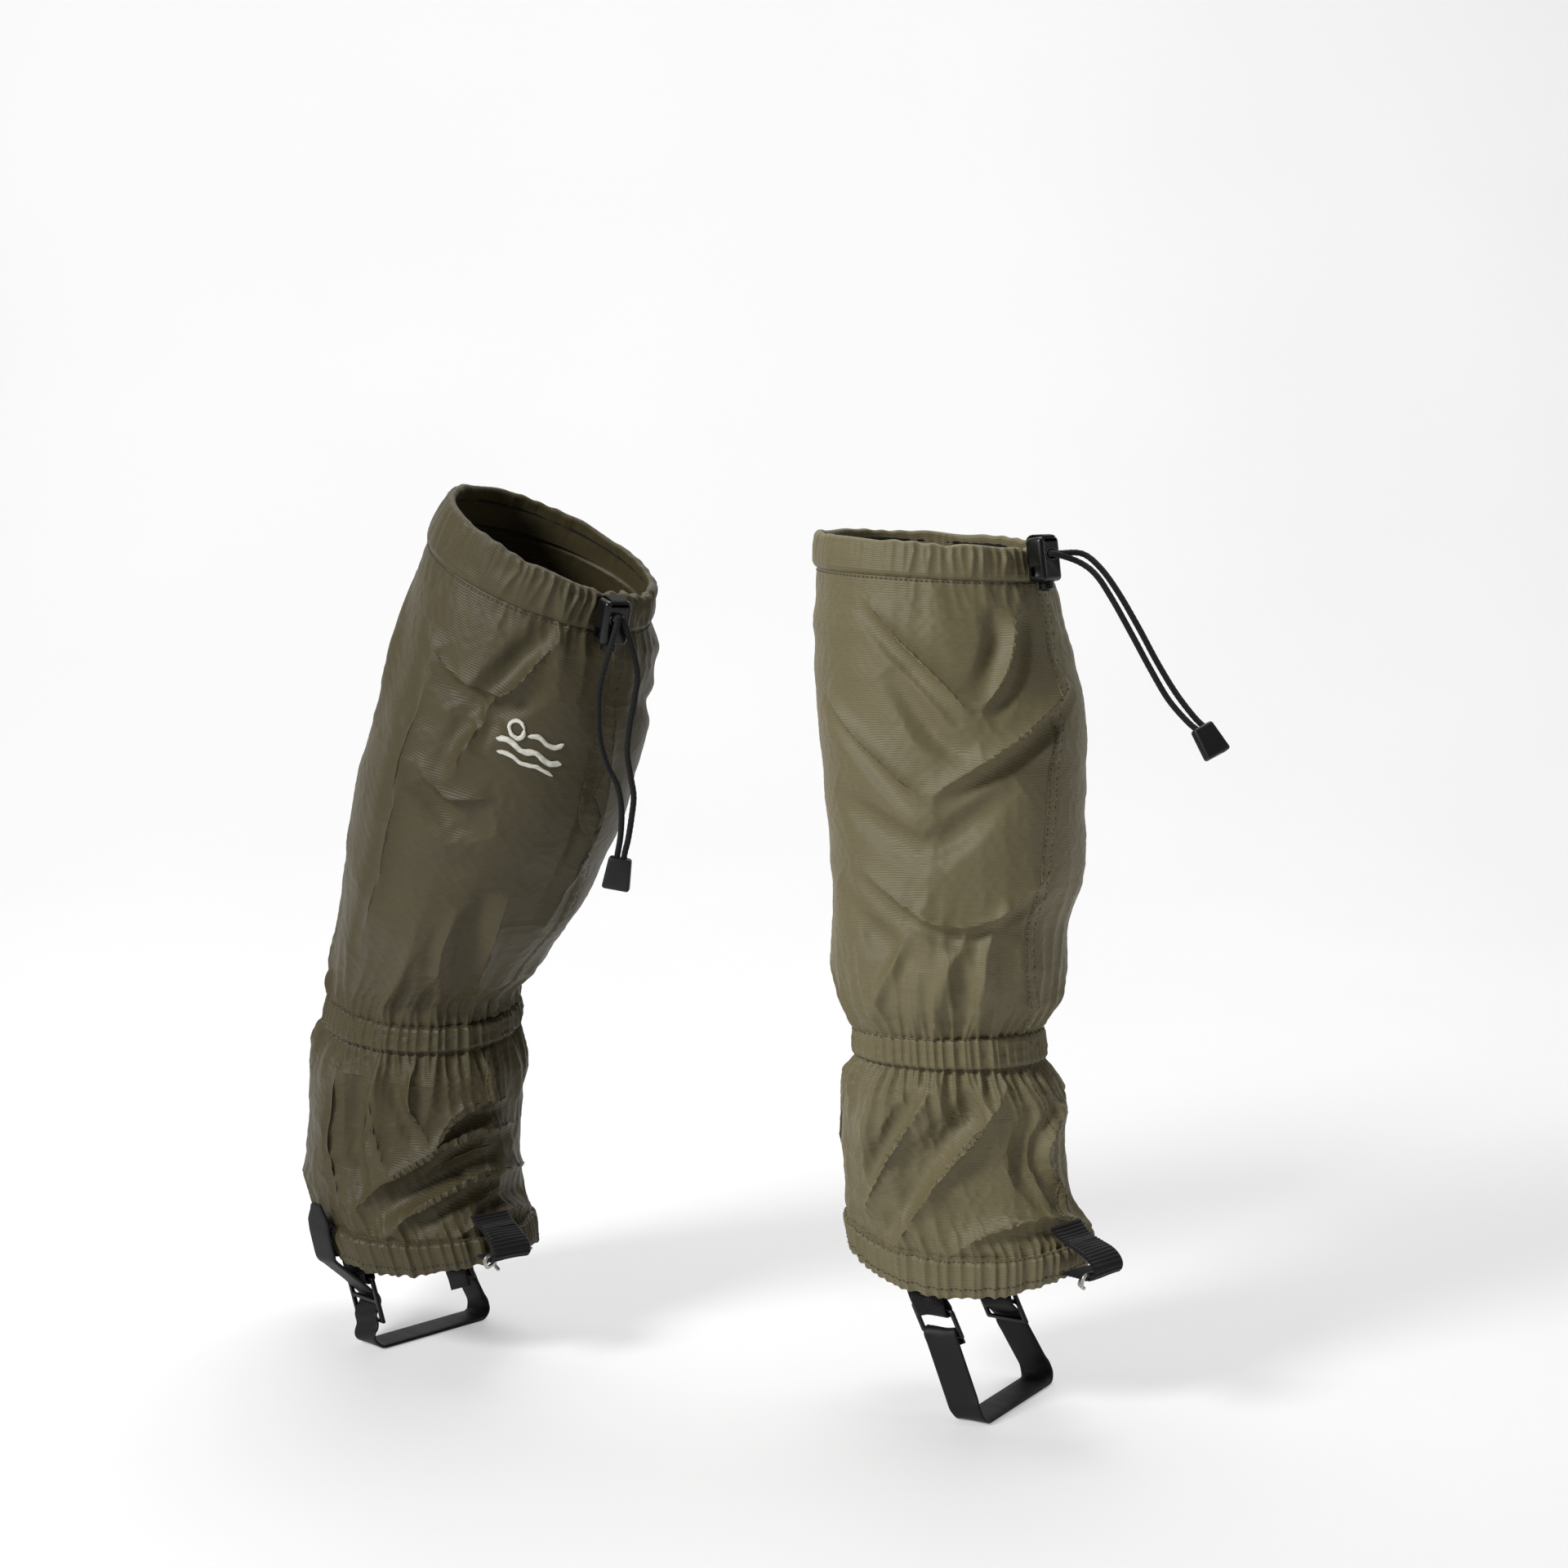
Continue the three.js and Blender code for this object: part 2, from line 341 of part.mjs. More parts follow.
  // strap: folded round the ring's lower bar, under the sole, and through the buckle
  const t2 = 1.2 + GAP + STRAP_T / 2 + 0.3, zr = ringBars[1], S = STRAP_HALF - 1;
  const path = [
    [I * (w0 - t2), zr - 9], [I * (w0 - t2), zr], [I * (w0 - t2 * 0.7), zr + t2 * 0.75], [I * w0, zr + t2 * 1.05], [I * (w0 + t2 * 0.7), zr + t2 * 0.75], [I * (w0 + t2), zr],
    [I * (w0 + t2 + 1), zr - 6], [I * S, 9], [I * (S - 1.2), 4], [I * (S - 5), 1],
    [-I * (S - 5), 1], [-I * (S - 1.2), 4], [-I * S, Math.min(9, buckleBars[2] - 9)], [-I * (w0 + 3.2), buckleBars[2] - 3], [-I * (w0 + 2.9), buckleBars[2]],
    [-I * (w0 + 2.9), zb - 22], [-I * (w0 - 2.9), zb - 15], [-I * (w0 - 2.9), zb - 11], [-I * (w0 + 5.6), zb - 1.5],
    ...g.tail.map(([w, z]) => [-I * w, zh + z - 1]),
  ];
  put(group, n("stirrup_strap"), place(acrossRibbon(path, STRAP_T, STRAP_WIDTH)), M.strap(), stirM);

  pair.add(group);
  return { group, lockM, hookM, stirM, out, side, up, ho, hs, hookO, bar };
};
const parts = { left: makeGaiter(LEFT), right: makeGaiter(RIGHT) };

// embroidered patch on the outer side of the right gaiter
const patch = () => {
  const rows = 4, cols = 7, top = [], low = [];
  for (let j = 0; j <= rows; j++)
    for (let i = 0; i <= cols; i++) {
      const s = 3.35 + (0.85 * j) / rows + (0.42 * i) / cols, phi = rad(-54 + (32 * i) / cols);
      top.push(surf(RIGHT, s, phi, 1.0));
      low.push(surf(RIGHT, s, phi, 0.4));
    }
  const pos = [], idx = [], N = top.length, w = cols + 1;
  for (const p of [...top, ...low]) pos.push(p.x, p.y, p.z);
  for (let j = 0; j < rows; j++)
    for (let i = 0; i < cols; i++) {
      const a = j * w + i, b = a + 1, c = a + w, d = c + 1;
      idx.push(a, b, d, a, d, c, N + a, N + d, N + b, N + a, N + c, N + d);
    }
  const edge = [];
  for (let i = 0; i < cols; i++) edge.push([i, i + 1]);
  for (let j = 0; j < rows; j++) edge.push([j * w + cols, (j + 1) * w + cols]);
  for (let i = cols; i > 0; i--) edge.push([rows * w + i, rows * w + i - 1]);
  for (let j = rows; j > 0; j--) edge.push([j * w, (j - 1) * w]);
  for (const [a, b] of edge) idx.push(a, N + a, b, b, N + a, N + b);
  const geo = new THREE.BufferGeometry();
  geo.setAttribute("position", new THREE.Float32BufferAttribute(pos, 3));
  geo.setIndex(idx);
  return outward(geo);
};
put(parts.right.group, "right_emblem", patch(), M.thread());

// The pair stands on z = 0 with the middle of its box, free cords aside, over the origin.
pair.updateMatrixWorld(true);
const bounds = new THREE.Box3();
pair.traverse((o) => {
  if (o.isMesh && !cordNames.has(o.name)) bounds.expandByObject(o, true);
});
pair.position.set(-(bounds.min.x + bounds.max.x) / 2, -(bounds.min.y + bounds.max.y) / 2, -bounds.min.z);
pair.updateMatrixWorld(true);
export { pair, parts, bounds, LEFT, RIGHT, surf, seamAngle };
export default pair;
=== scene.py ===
# A pair of trekking gaiters in their worn shape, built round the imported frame.
import json
import math
import bmesh
import bpy
import numpy as np
from mathutils import Matrix, Vector

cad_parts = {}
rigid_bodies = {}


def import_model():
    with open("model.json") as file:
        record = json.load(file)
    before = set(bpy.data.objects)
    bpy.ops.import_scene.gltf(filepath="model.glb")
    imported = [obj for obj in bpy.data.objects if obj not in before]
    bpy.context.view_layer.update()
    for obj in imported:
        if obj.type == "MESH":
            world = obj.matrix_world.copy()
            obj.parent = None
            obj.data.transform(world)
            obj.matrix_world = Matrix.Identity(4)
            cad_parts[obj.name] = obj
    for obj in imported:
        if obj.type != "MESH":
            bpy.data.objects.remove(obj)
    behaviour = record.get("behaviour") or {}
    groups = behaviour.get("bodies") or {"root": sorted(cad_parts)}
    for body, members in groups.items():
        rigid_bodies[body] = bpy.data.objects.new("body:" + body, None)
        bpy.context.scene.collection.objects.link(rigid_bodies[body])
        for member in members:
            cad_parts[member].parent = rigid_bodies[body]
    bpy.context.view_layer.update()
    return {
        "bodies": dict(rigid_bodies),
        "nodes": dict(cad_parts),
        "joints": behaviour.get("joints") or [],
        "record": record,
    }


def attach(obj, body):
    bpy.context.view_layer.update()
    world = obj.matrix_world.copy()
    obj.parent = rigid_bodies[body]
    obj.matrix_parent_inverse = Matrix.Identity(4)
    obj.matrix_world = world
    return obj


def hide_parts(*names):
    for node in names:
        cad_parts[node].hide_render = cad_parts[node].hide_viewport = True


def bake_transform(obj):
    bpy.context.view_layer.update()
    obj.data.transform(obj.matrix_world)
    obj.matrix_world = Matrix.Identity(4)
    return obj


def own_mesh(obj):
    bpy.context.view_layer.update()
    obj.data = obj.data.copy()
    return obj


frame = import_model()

MM = 0.001
RNG = np.random.RandomState(7)
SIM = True

# ------------------------------------------------------------------ dimensions
# Cross-sections of each gaiter, top to bottom: centre, half width, half length
# (mm) and the slopes of the section's plane, in the pair's own frame before SHIFT.
SHIFT = np.array([52.51187, 82.37671, 0.0])
HEM_DROP = 12.0
LEFT = dict(side="left", heading=30.0, inner=-1, waist=11, rings=[
    [84.8, -100.7, 495.7, 63.9, 67.7, -0.05, -0.08], [85.1, -102.9, 476.0, 65.9, 69.9, -0.04, -0.08],
    [89.1, -106.4, 443.8, 69.6, 75.2, -0.01, -0.09], [93.6, -109.5, 415.7, 72.8, 80.1, -0.01, -0.10],
    [96.0, -112.5, 388.4, 73.7, 81.1, 0, -0.11], [97.5, -115.6, 360.7, 72.5, 79.8, 0, -0.12],
    [98.8, -119.1, 328.2, 71.1, 78.2, 0, -0.13], [98.2, -122.2, 300.3, 69.2, 76.1, 0, -0.13],
    [95.0, -124.8, 277.1, 64.9, 71.4, 0, -0.13], [95.3, -127.3, 253.8, 63.5, 69.8, 0, -0.13],
    [95.2, -129.5, 234.1, 59.0, 64.9, 0, -0.12], [93.8, -131.5, 217.9, 49.4, 55.3, 0.01, -0.10],
    [94.6, -132.0, 201.7, 49.0, 56.2, 0, -0.07], [94.9, -132.1, 191.9, 52.9, 63.5, 0.01, -0.03],
    [96.6, -133.1, 175.0, 53.4, 69.4, 0.02, 0], [96.6, -133.1, 151.1, 50.8, 71.1, 0.03, 0.03],
    [99.1, -134.5, 128.6, 48.8, 72.2, 0.03, 0.05], [105.2, -138.1, 107.5, 48.9, 75.7, 0.04, 0.06],
    [106.3, -138.7, 88.8, 47.3, 73.3, 0.03, 0.08]],
    seam=[[0, -3], [2, -4], [5, -18], [7, -22], [9, -22], [11, -10], [13, -13], [15, -8], [18, -4]],
    tabForward=-11, tabSide=35.5, hingeZ=75, drop=0.49, hook=(16.7, -17, 32.0))
RIGHT = dict(side="right", heading=46.0, inner=1, waist=12, rings=[
    [-130.0, -115.7, 496.6, 56.7, 60.1, -0.44, 0.17], [-138.1, -107.3, 473.1, 62.8, 66.6, -0.34, 0.17],
    [-139.7, -105.6, 457.2, 67.4, 71.5, -0.31, 0.17], [-144.5, -100.7, 430.0, 71.1, 76.8, -0.27, 0.17],
    [-152.6, -92.3, 400.2, 72.8, 80.1, -0.22, 0.16], [-160.3, -84.3, 371.4, 74.8, 82.3, -0.18, 0.16],
    [-169.4, -74.9, 340.8, 74.8, 82.3, -0.15, 0.15], [-178.8, -65.2, 312.2, 72.8, 80.1, -0.12, 0.14],
    [-187.3, -56.4, 285.2, 69.8, 76.8, -0.11, 0.14], [-196.0, -47.4, 261.8, 65.2, 71.7, -0.07, 0.13],
    [-204.8, -38.2, 239.3, 59.1, 65.0, -0.05, 0.13], [-212.6, -30.2, 223.7, 54.5, 59.9, -0.03, 0.12],
    [-214.7, -28.0, 211.4, 53.6, 60.0, -0.01, 0.12], [-216.8, -25.8, 195.2, 55.4, 63.7, 0.02, 0.10],
    [-218.5, -24.0, 176.1, 60.2, 72.3, 0, 0.08], [-220.6, -21.8, 149.0, 60.3, 75.4, 0.02, 0.06],
    [-223.9, -18.5, 120.0, 59.5, 77.4, 0.05, 0.06], [-224.1, -18.3, 97.7, 60.7, 80.7, 0.03, 0.05],
    [-218.4, -24.2, 80.8, 58.0, 78.3, 0.04, 0.05], [-212.7, -30.1, 67.7, 55.0, 74.2, 0.03, 0.05]],
    seam=[[0, 2], [3, -2], [5, -6], [7, 12], [9, 8], [12, 6], [14, -3], [17, -5], [19, 2]],
    tabForward=-29, tabSide=37, hingeZ=54, drop=0.41, hook=(17.3, -10, 28.0))
GAITERS = (LEFT, RIGHT)

# Fold lines on the cloth: (kind, height mm, width mm, [(section, angle deg), ...])
FOLDS = {
    "left_leg": [
        ("crease", 5.2, 5.5, [(3.13, -128), (4.27, -102), (5.29, -78)]),
        ("crease", 5.4, 5.5, [(5.29, -78), (4.39, -48), (2.89, 0)]),
        ("ridge", -4.2, 8, [(5.11, -128), (5.9, -96), (6.08, -74), (4.99, -38)]),
        ("crease", 4.2, 5, [(1.38, -98), (2.41, -76), (3.61, -56)]),
        ("ridge", -3.6, 7, [(2.71, -90), (4.03, -72), (4.39, -56)]),
        ("crease", 4.0, 5, [(3.61, -54), (2.47, -36), (1.44, -24)]),
        ("ridge", -3.8, 6, [(1.44, -38), (2.17, -40), (3.19, -54)]),
        ("crease", 3.6, 5, [(6.38, -116), (7.46, -82), (7.76, -54), (6.68, -18)]),
        ("ridge", -3.0, 8, [(6.8, -130), (8.12, -102), (8.54, -76)]),
        ("ridge", 3.0, 5, [(7.82, -82), (9.09, -96), (10.47, -110)]),
        ("ridge", 3.0, 5, [(7.76, -54), (8.96, -66), (10.29, -70)]),
        ("ridge", 2.8, 5, [(7.1, -40), (8.48, -48), (10.29, -50)]),
        ("ridge", 3.4, 9.0, [(1.6, 60), (2.9, 100), (4.2, 130)]),
        ("ridge", -3.4, 9.0, [(2.4, 40), (3.6, 80), (4.6, 120)]),
        ("ridge", 3.0, 9.0, [(4.4, 40), (5.6, 90), (5.8, 150)]),
        ("crease", 3.6, 8.0, [(3.2, 178), (4.0, 150), (3.4, 118)]),
        ("ridge", 2.6, 9.0, [(6.6, 60), (7.4, 110), (8.4, 150)]),
    ],
    "right_leg": [
        ("crease", 4.6, 6, [(0.44, -18), (2.29, -42), (3.62, -60), (5.08, -68)]),
        ("ridge", -4.6, 9, [(1.14, -32), (2.79, -50), (4.26, -64)]),
        ("crease", 3.6, 6, [(2.48, -98), (3.11, -80), (3.11, -54), (2.41, -40)]),
        ("ridge", -3.4, 8, [(2.86, -88), (3.56, -68), (3.56, -52)]),
        ("crease", 3.2, 6, [(4.76, -84), (5.27, -68), (5.14, -48)]),
        ("ridge", -3.0, 8, [(5.21, -80), (5.78, -62), (5.65, -44)]),
        ("crease", 3.8, 6, [(2.48, -92), (4.89, -90), (6.86, -88), (9.53, -94)]),
        ("ridge", 2.8, 5, [(7.11, -28), (8.51, -26), (10.42, -20)]),
        ("ridge", 2.8, 5, [(7.49, -48), (8.83, -48), (10.35, -42)]),
        ("ridge", -2.6, 6, [(7.11, -38), (8.64, -38), (10.42, -30)]),
        ("crease", 3.0, 5, [(2.92, 0), (4.7, 2), (6.73, 2), (8.26, -4)]),
        ("ridge", 3.0, 9.0, [(1.6, 40), (2.8, 70), (4.0, 110)]),
        ("ridge", -3.0, 9.0, [(2.6, 20), (3.8, 60), (4.8, 100)]),
        ("crease", 3.6, 8.0, [(3.0, 170), (4.2, 140), (3.6, 104)]),
        ("ridge", 2.8, 9.0, [(5.4, 60), (6.6, 100), (7.2, 150)]),
        ("ridge", 2.6, 9.0, [(8.0, 40), (9.0, 90), (9.6, 140)]),
        ("ridge", 2.4, 9.0, [(2.0, -150), (3.4, -130), (5.0, -128)]),
    ],
    "left_boot": [
        ("crease", 5.0, 5.5, [(12.15, -28), (14.44, -62), (16.25, -92), (17.81, -122)]),
        ("ridge", -4.0, 6, [(12.27, -48), (14.5, -78), (16.12, -104)]),
        ("crease", 4.4, 5, [(11.85, -68), (14.62, -98), (16.91, -126)]),
        ("crease", 5.2, 4.5, [(17.27, -86), (16.49, -56), (16.37, -20), (17.39, 32)]),
        ("ridge", -4.6, 4.5, [(17.69, -78), (17.03, -50), (17.15, -12)]),
        ("crease", 3.8, 5, [(13.54, 6), (14.8, -18), (16.25, 2)]),
        ("ridge", -3.6, 5, [(13.54, -24), (14.92, -34), (16.12, -22)]),
        ("ridge", 2.8, 6.0, [(12.6, -116), (14.6, -118), (16.6, -120)]),
        ("ridge", 3.0, 7.0, [(12.6, 20), (14.2, 50), (16.0, 60)]),
        ("ridge", 3.0, 6.0, [(12.6, 80), (14.6, 96), (16.6, 100)]),
        ("ridge", 3.2, 6.0, [(12.6, 140), (14.6, 150), (16.6, 146)]),
        ("ridge", 3.2, 6.0, [(12.6, 178), (14.6, 186), (16.6, 182)]),
    ],
    "right_boot": [
        ("crease", 5.2, 5, [(17.4, -84), (15.88, -50), (15.18, -16), (15.31, 26)]),
        ("crease", 5.0, 5, [(18.42, -76), (16.64, -36), (16.13, -2), (16.58, 44)]),
        ("ridge", -4.6, 5, [(17.97, -80), (16.26, -40), (15.62, 8)]),
        ("crease", 4.4, 4.5, [(15.56, -40), (14.61, -20), (14.54, 12)]),
        ("crease", 4.4, 4.5, [(18.16, -36), (17.34, -6), (17.66, 38)]),
        ("ridge", -4.0, 4.5, [(17.66, -22), (16.89, 6), (17.21, 44)]),
        ("crease", 3.8, 5, [(13.78, -94), (15.43, -96), (17.21, -88)]),
        ("crease", 3.8, 5, [(13.46, -68), (14.8, -70), (16.0, -60)]),
        ("ridge", -3.4, 5, [(13.59, -80), (15.31, -82), (16.83, -74)]),
        ("crease", 3.4, 5, [(13.02, -46), (14.42, -50), (15.31, -40)]),
        ("ridge", 5.0, 8.0, [(17.0, -150), (17.6, -176), (17.2, -210)]),
        ("ridge", 3.2, 6.0, [(13.8, 150), (15.6, 160), (17.4, 166)]),
        ("ridge", 3.2, 7.0, [(13.8, 60), (15.6, 84), (17.4, 100)]),
        ("crease", 3.4, 6.0, [(13.6, 110), (15.4, 124), (17.2, 130)]),
    ],
}


# ------------------------------------------------------------- surface helpers
def cubic(rows, s):
    """Rows of a table read at fractional places s, smoothly."""
    rows = np.asarray(rows, float)
    s = np.clip(np.asarray(s, float), 0, len(rows) - 1)
    i = np.minimum(s.astype(int), len(rows) - 2)
    t = (s - i)[..., None]
    p1, p2 = rows[i], rows[i + 1]
    p0 = np.where((i > 0)[..., None], rows[np.maximum(i - 1, 0)], 2 * p1 - p2)
    p3 = np.where((i < len(rows) - 2)[..., None], rows[np.minimum(i + 2, len(rows) - 1)], 2 * p2 - p1)
    full = 0.5 * ((2 * p1) + (p2 - p0) * t + (2 * p0 - 5 * p1 + 4 * p2 - p3) * t ** 2 + (3 * p1 - p0 - 3 * p2 + p3) * t ** 3)
    return 0.6 * full + 0.4 * (p1 + (p2 - p1) * t)


def axes_of(g):
    h = math.radians(g["heading"])
    return np.array([math.cos(h), -math.sin(h), 0.0]), np.array([math.sin(h), math.cos(h), 0.0])


def surf(g, s, phi, off=0.0):
    """Points (mm) of a gaiter's surface at section s and angle phi, moved out by off."""
    s, phi, off = np.broadcast_arrays(np.asarray(s, float), np.asarray(phi, float), np.asarray(off, float))
    r = cubic(g["rings"], s)
    F, L = axes_of(g)
    u = (r[..., 4] + off) * np.cos(phi)
    w = (r[..., 3] + off) * np.sin(phi)
    dx, dy = F[0] * u + L[0] * w, F[1] * u + L[1] * w
    last = len(g["rings"]) - 1
    low = np.clip((s - (last - 3)) / 3, 0, 1)
    z = r[..., 2] + r[..., 5] * dx + r[..., 6] * dy - HEM_DROP * low ** 2 * np.sin(phi) ** 2
    return np.stack([r[..., 0] + dx, r[..., 1] + dy, z], -1) + SHIFT


def seam_angle(g, s):
    t = g["seam"]
    return np.radians(np.interp(s, [p[0] for p in t], [p[1] for p in t]))


def height_of(g):
    """Length along the cloth (mm) from the top edge to each section, on a fine table."""
    s = np.linspace(0, len(g["rings"]) - 1, 800)
    c = cubic(g["rings"], s)
    d = np.r_[0, np.cumsum(np.hypot(np.linalg.norm(np.diff(c[:, :2], axis=0), axis=1), np.diff(c[:, 2])))]
    return s, d


for _g in GAITERS:
    _g["tab_s"], _g["tab_v"] = height_of(_g)
    _g["last"] = len(_g["rings"]) - 1


def v_of(g, s):
    return np.interp(s, g["tab_s"], g["tab_v"])


def s_of(g, v):
    return np.interp(v, g["tab_v"], g["tab_s"])


def radius_of(g, s):
    r = cubic(g["rings"], s)
    return (r[..., 3] + r[..., 4]) / 2


def normals(P, wrap=True):
    """Outward normals of a grid of points, rows downwards, columns round."""
    if wrap:
        du = np.roll(P, -1, 1) - np.roll(P, 1, 1)
    else:
        du = np.gradient(P, axis=1)
    dv = np.gradient(P, axis=0)
    n = np.cross(dv, du)
    n /= np.maximum(np.linalg.norm(n, axis=-1, keepdims=True), 1e-9)
    return n


def smooth_noise(shape, cells, rng, wrap=True):
    """Smooth random field, periodic in columns, about -1 to 1."""
    n, m = cells
    t = rng.standard_normal((n + 4, m))
    js = np.linspace(1, n + 1.999, shape[0])
    is_ = np.arange(shape[1]) * m / shape[1]
    j, i = js.astype(int), is_.astype(int)
    fj, fi = (js - j)[:, None], (is_ - i)[None, :]
    fj, fi = fj * fj * (3 - 2 * fj), fi * fi * (3 - 2 * fi)
    a = t[j][:, i % m]; b = t[j][:, (i + 1) % m]
    c = t[j + 1][:, i % m]; d = t[j + 1][:, (i + 1) % m]
    return ((a * (1 - fi) + b * fi) * (1 - fj) + (c * (1 - fi) + d * fi) * fj) * 0.7


def fold_field(g, s, phi, folds):
    """Height (mm) of the drawn folds at each grid point."""
    r0 = 74.0
    X, Y = phi * r0, v_of(g, s)
    out = np.zeros_like(X)
    for kind, amp, width, line in folds:
        pts = np.array([[math.radians(p) * r0, float(v_of(g, q))] for q, p in line])
        pts = spline(pts, 24)
        seg = np.r_[0, np.cumsum(np.linalg.norm(np.diff(pts, axis=0), axis=1))]
        best = np.full(X.shape, 1e9)
        along = np.zeros(X.shape)
        sign = np.zeros(X.shape)
        for k in range(len(pts) - 1):
            a, b = pts[k], pts[k + 1]
            d = b - a
            for turn in (-2 * math.pi * r0, 0, 2 * math.pi * r0):
                qx, qy = X + turn - a[0], Y - a[1]
                t = np.clip((qx * d[0] + qy * d[1]) / (d @ d), 0, 1)
                ex, ey = qx - t * d[0], qy - t * d[1]
                dist = np.hypot(ex, ey)
                near = dist < best
                best = np.where(near, dist, best)
                along = np.where(near, (seg[k] + t * (seg[k + 1] - seg[k])) / seg[-1], along)
                sign = np.where(near, np.sign(d[0] * ey - d[1] * ex), sign)
        ends = np.clip(np.sin(np.pi * np.clip(along, 0, 1)), 0, 1) ** 0.75
        x = best / width
        if kind == "ridge":
            h = np.exp(-x * x)
        elif kind == "pleat":
            h = np.exp(-x ** 1.4)
        else:  # a crease: a fairly sharp ridge with a hollow tucked under its lower side
            h = np.exp(-np.abs(x) ** 1.15) - 0.6 * np.exp(-((best * sign / width - 1.35) ** 2))
        out += (1.75 if kind == "crease" else 1.5) * amp * ends * h * np.exp(-np.maximum(0, best - 4 * width))
    return out


def spline(pts, n):
    """A smooth line through pts, n points to each span."""
    p = np.asarray(pts, float)
    q = np.vstack([2 * p[0] - p[1], p, 2 * p[-1] - p[-2]])
    out = []
    for i in range(1, len(q) - 2):
        t = np.linspace(0, 1, n, endpoint=False)[:, None]
        out.append(0.5 * (2 * q[i] + (q[i + 1] - q[i - 1]) * t + (2 * q[i - 1] - 5 * q[i] + 4 * q[i + 1] - q[i + 2]) * t ** 2 + (3 * q[i] - q[i - 1] - 3 * q[i + 1] + q[i + 2]) * t ** 3))
    return np.vstack(out + [p[-1:]])


def ridged(shape, cells, rng, shear=0.0):
    """Crisp creases: the fold lines of a smooth periodic field, 0 on the flat and 1 on a line."""
    n = smooth_noise(shape, cells, rng)
    if shear:
        m = shape[1]
        rows = np.arange(shape[0])
        n = np.stack([np.roll(n[j], int(shear * j) % m) for j in rows])
    return np.clip(1 - np.abs(n) * 2.6, 0, 1) ** 1.5


def resample_row(row, m):
    """A closed row of points read at m even places."""
    k = len(row)
    x = np.arange(m) * k / m
    i = x.astype(int)
    f = (x - i)[:, None]
    return row[i % k] * (1 - f) + row[(i + 1) % k] * f


def make_pleats(g, seed, count, spread=0.34):
    rng = np.random.RandomState(seed)
    x = (np.arange(count) + rng.uniform(-spread, spread, count)) / count * 2 * math.pi
    return dict(x=x, h=rng.uniform(0.55, 1.25, count), up=rng.uniform(0.45, 1.6, count), down=rng.uniform(0.45, 1.6, count),
                slant=rng.uniform(-0.25, 0.25, count), w=rng.uniform(0.75, 1.3, count))


def pleat_field(g, phi, d, pleats, amp, reach, side, width):
    """Fan of small pleats that dies away at distance d (mm) from a gathered stitch row."""
    out = np.zeros(np.broadcast(phi, d).shape)
    R = 66.0
    for k in range(len(pleats["x"])):
        length = reach * pleats[side][k]
        drift = pleats["slant"][k] * np.maximum(d, 0)
        dx = (phi - pleats["x"][k] + math.pi) % (2 * math.pi) - math.pi
        w = width * pleats["w"][k] * (1 + 0.9 * np.clip(d / 30, 0, 1))
        x = np.abs((dx * R - drift) / w)
        out += pleats["h"][k] * np.exp(-x ** 1.35) * np.exp(-np.clip(d / length, 0, 9) ** 1.3)
    return amp * (out - 0.45)


# ------------------------------------------------------------------- meshes
def link(o):
    bpy.context.scene.collection.objects.link(o)
    return o


def mesh_obj(name, verts, faces, uvs=None, smooth=True, mat=None, sharp=None):
    """An object from points in mm."""
    me = bpy.data.meshes.new(name)
    me.from_pydata((np.asarray(verts, float) * MM).tolist(), [], [list(map(int, f)) for f in faces])
    if uvs is not None:
        layer = me.uv_layers.new(name="UVMap")
        layer.data.foreach_set("uv", np.asarray(uvs, np.float32).ravel())
    me.polygons.foreach_set("use_smooth", [smooth] * len(me.polygons))
    me.update()
    if sharp is not None:
        me.set_sharp_from_angle(angle=math.radians(sharp))
    o = link(bpy.data.objects.new(name, me))
    if mat is not None:
        me.materials.append(mat)
    return o


def grid_obj(name, P, U, Vv, wrap=True, mat=None, flip=False):
    """Grid of points P[row, column] (mm); U, Vv are lengths (mm) for the weave, U with one more column when wrapped."""
    n, m = P.shape[:2]
    cols = m if wrap else m - 1
    j, i = np.meshgrid(np.arange(n - 1), np.arange(cols), indexing="ij")
    i2 = (i + 1) % m
    quad = np.stack([j * m + i, (j + 1) * m + i, (j + 1) * m + i2, j * m + i2], -1).reshape(-1, 4)
    iu = i + 1
    uv = np.stack([np.stack([U[j, i], Vv[j, i]], -1), np.stack([U[j + 1, i], Vv[j + 1, i]], -1), np.stack([U[j + 1, iu], Vv[j + 1, iu]], -1), np.stack([U[j, iu], Vv[j, iu]], -1)], 2).reshape(-1, 4, 2) * MM
    if flip:
        quad, uv = quad[:, ::-1], uv[:, ::-1]
    me = bpy.data.meshes.new(name)
    me.vertices.add(n * m)
    me.vertices.foreach_set("co", (P.reshape(-1, 3) * MM).astype(np.float32).ravel())
    me.loops.add(quad.size)
    me.loops.foreach_set("vertex_index", quad.ravel().astype(np.int32))
    me.polygons.add(len(quad))
    me.polygons.foreach_set("loop_start", np.arange(0, quad.size, 4, dtype=np.int32))
    me.update(calc_edges=True)
    me.polygons.foreach_set("use_smooth", [True] * len(quad))
    layer = me.uv_layers.new(name="UVMap")
    layer.data.foreach_set("uv", uv.reshape(-1).astype(np.float32))
    me.validate()
    me.update()
    if mat is not None:
        me.materials.append(mat)
    return link(bpy.data.objects.new(name, me))


def frames_along(path):
    """Tangents and two turning normals along a line, without twist."""
    p = np.asarray(path, float)
    t = np.gradient(p, axis=0)
    t /= np.linalg.norm(t, axis=1, keepdims=True)
    n = np.zeros_like(t)
    a = np.array([0, 0, 1.0]) if abs(t[0][2]) < 0.9 else np.array([1.0, 0, 0])
    n[0] = a - (a @ t[0]) * t[0]
    n[0] /= np.linalg.norm(n[0])
    for i in range(1, len(p)):
        v = n[i - 1] - (n[i - 1] @ t[i]) * t[i]
        n[i] = v / np.linalg.norm(v)
    return t, n, np.cross(t, n)


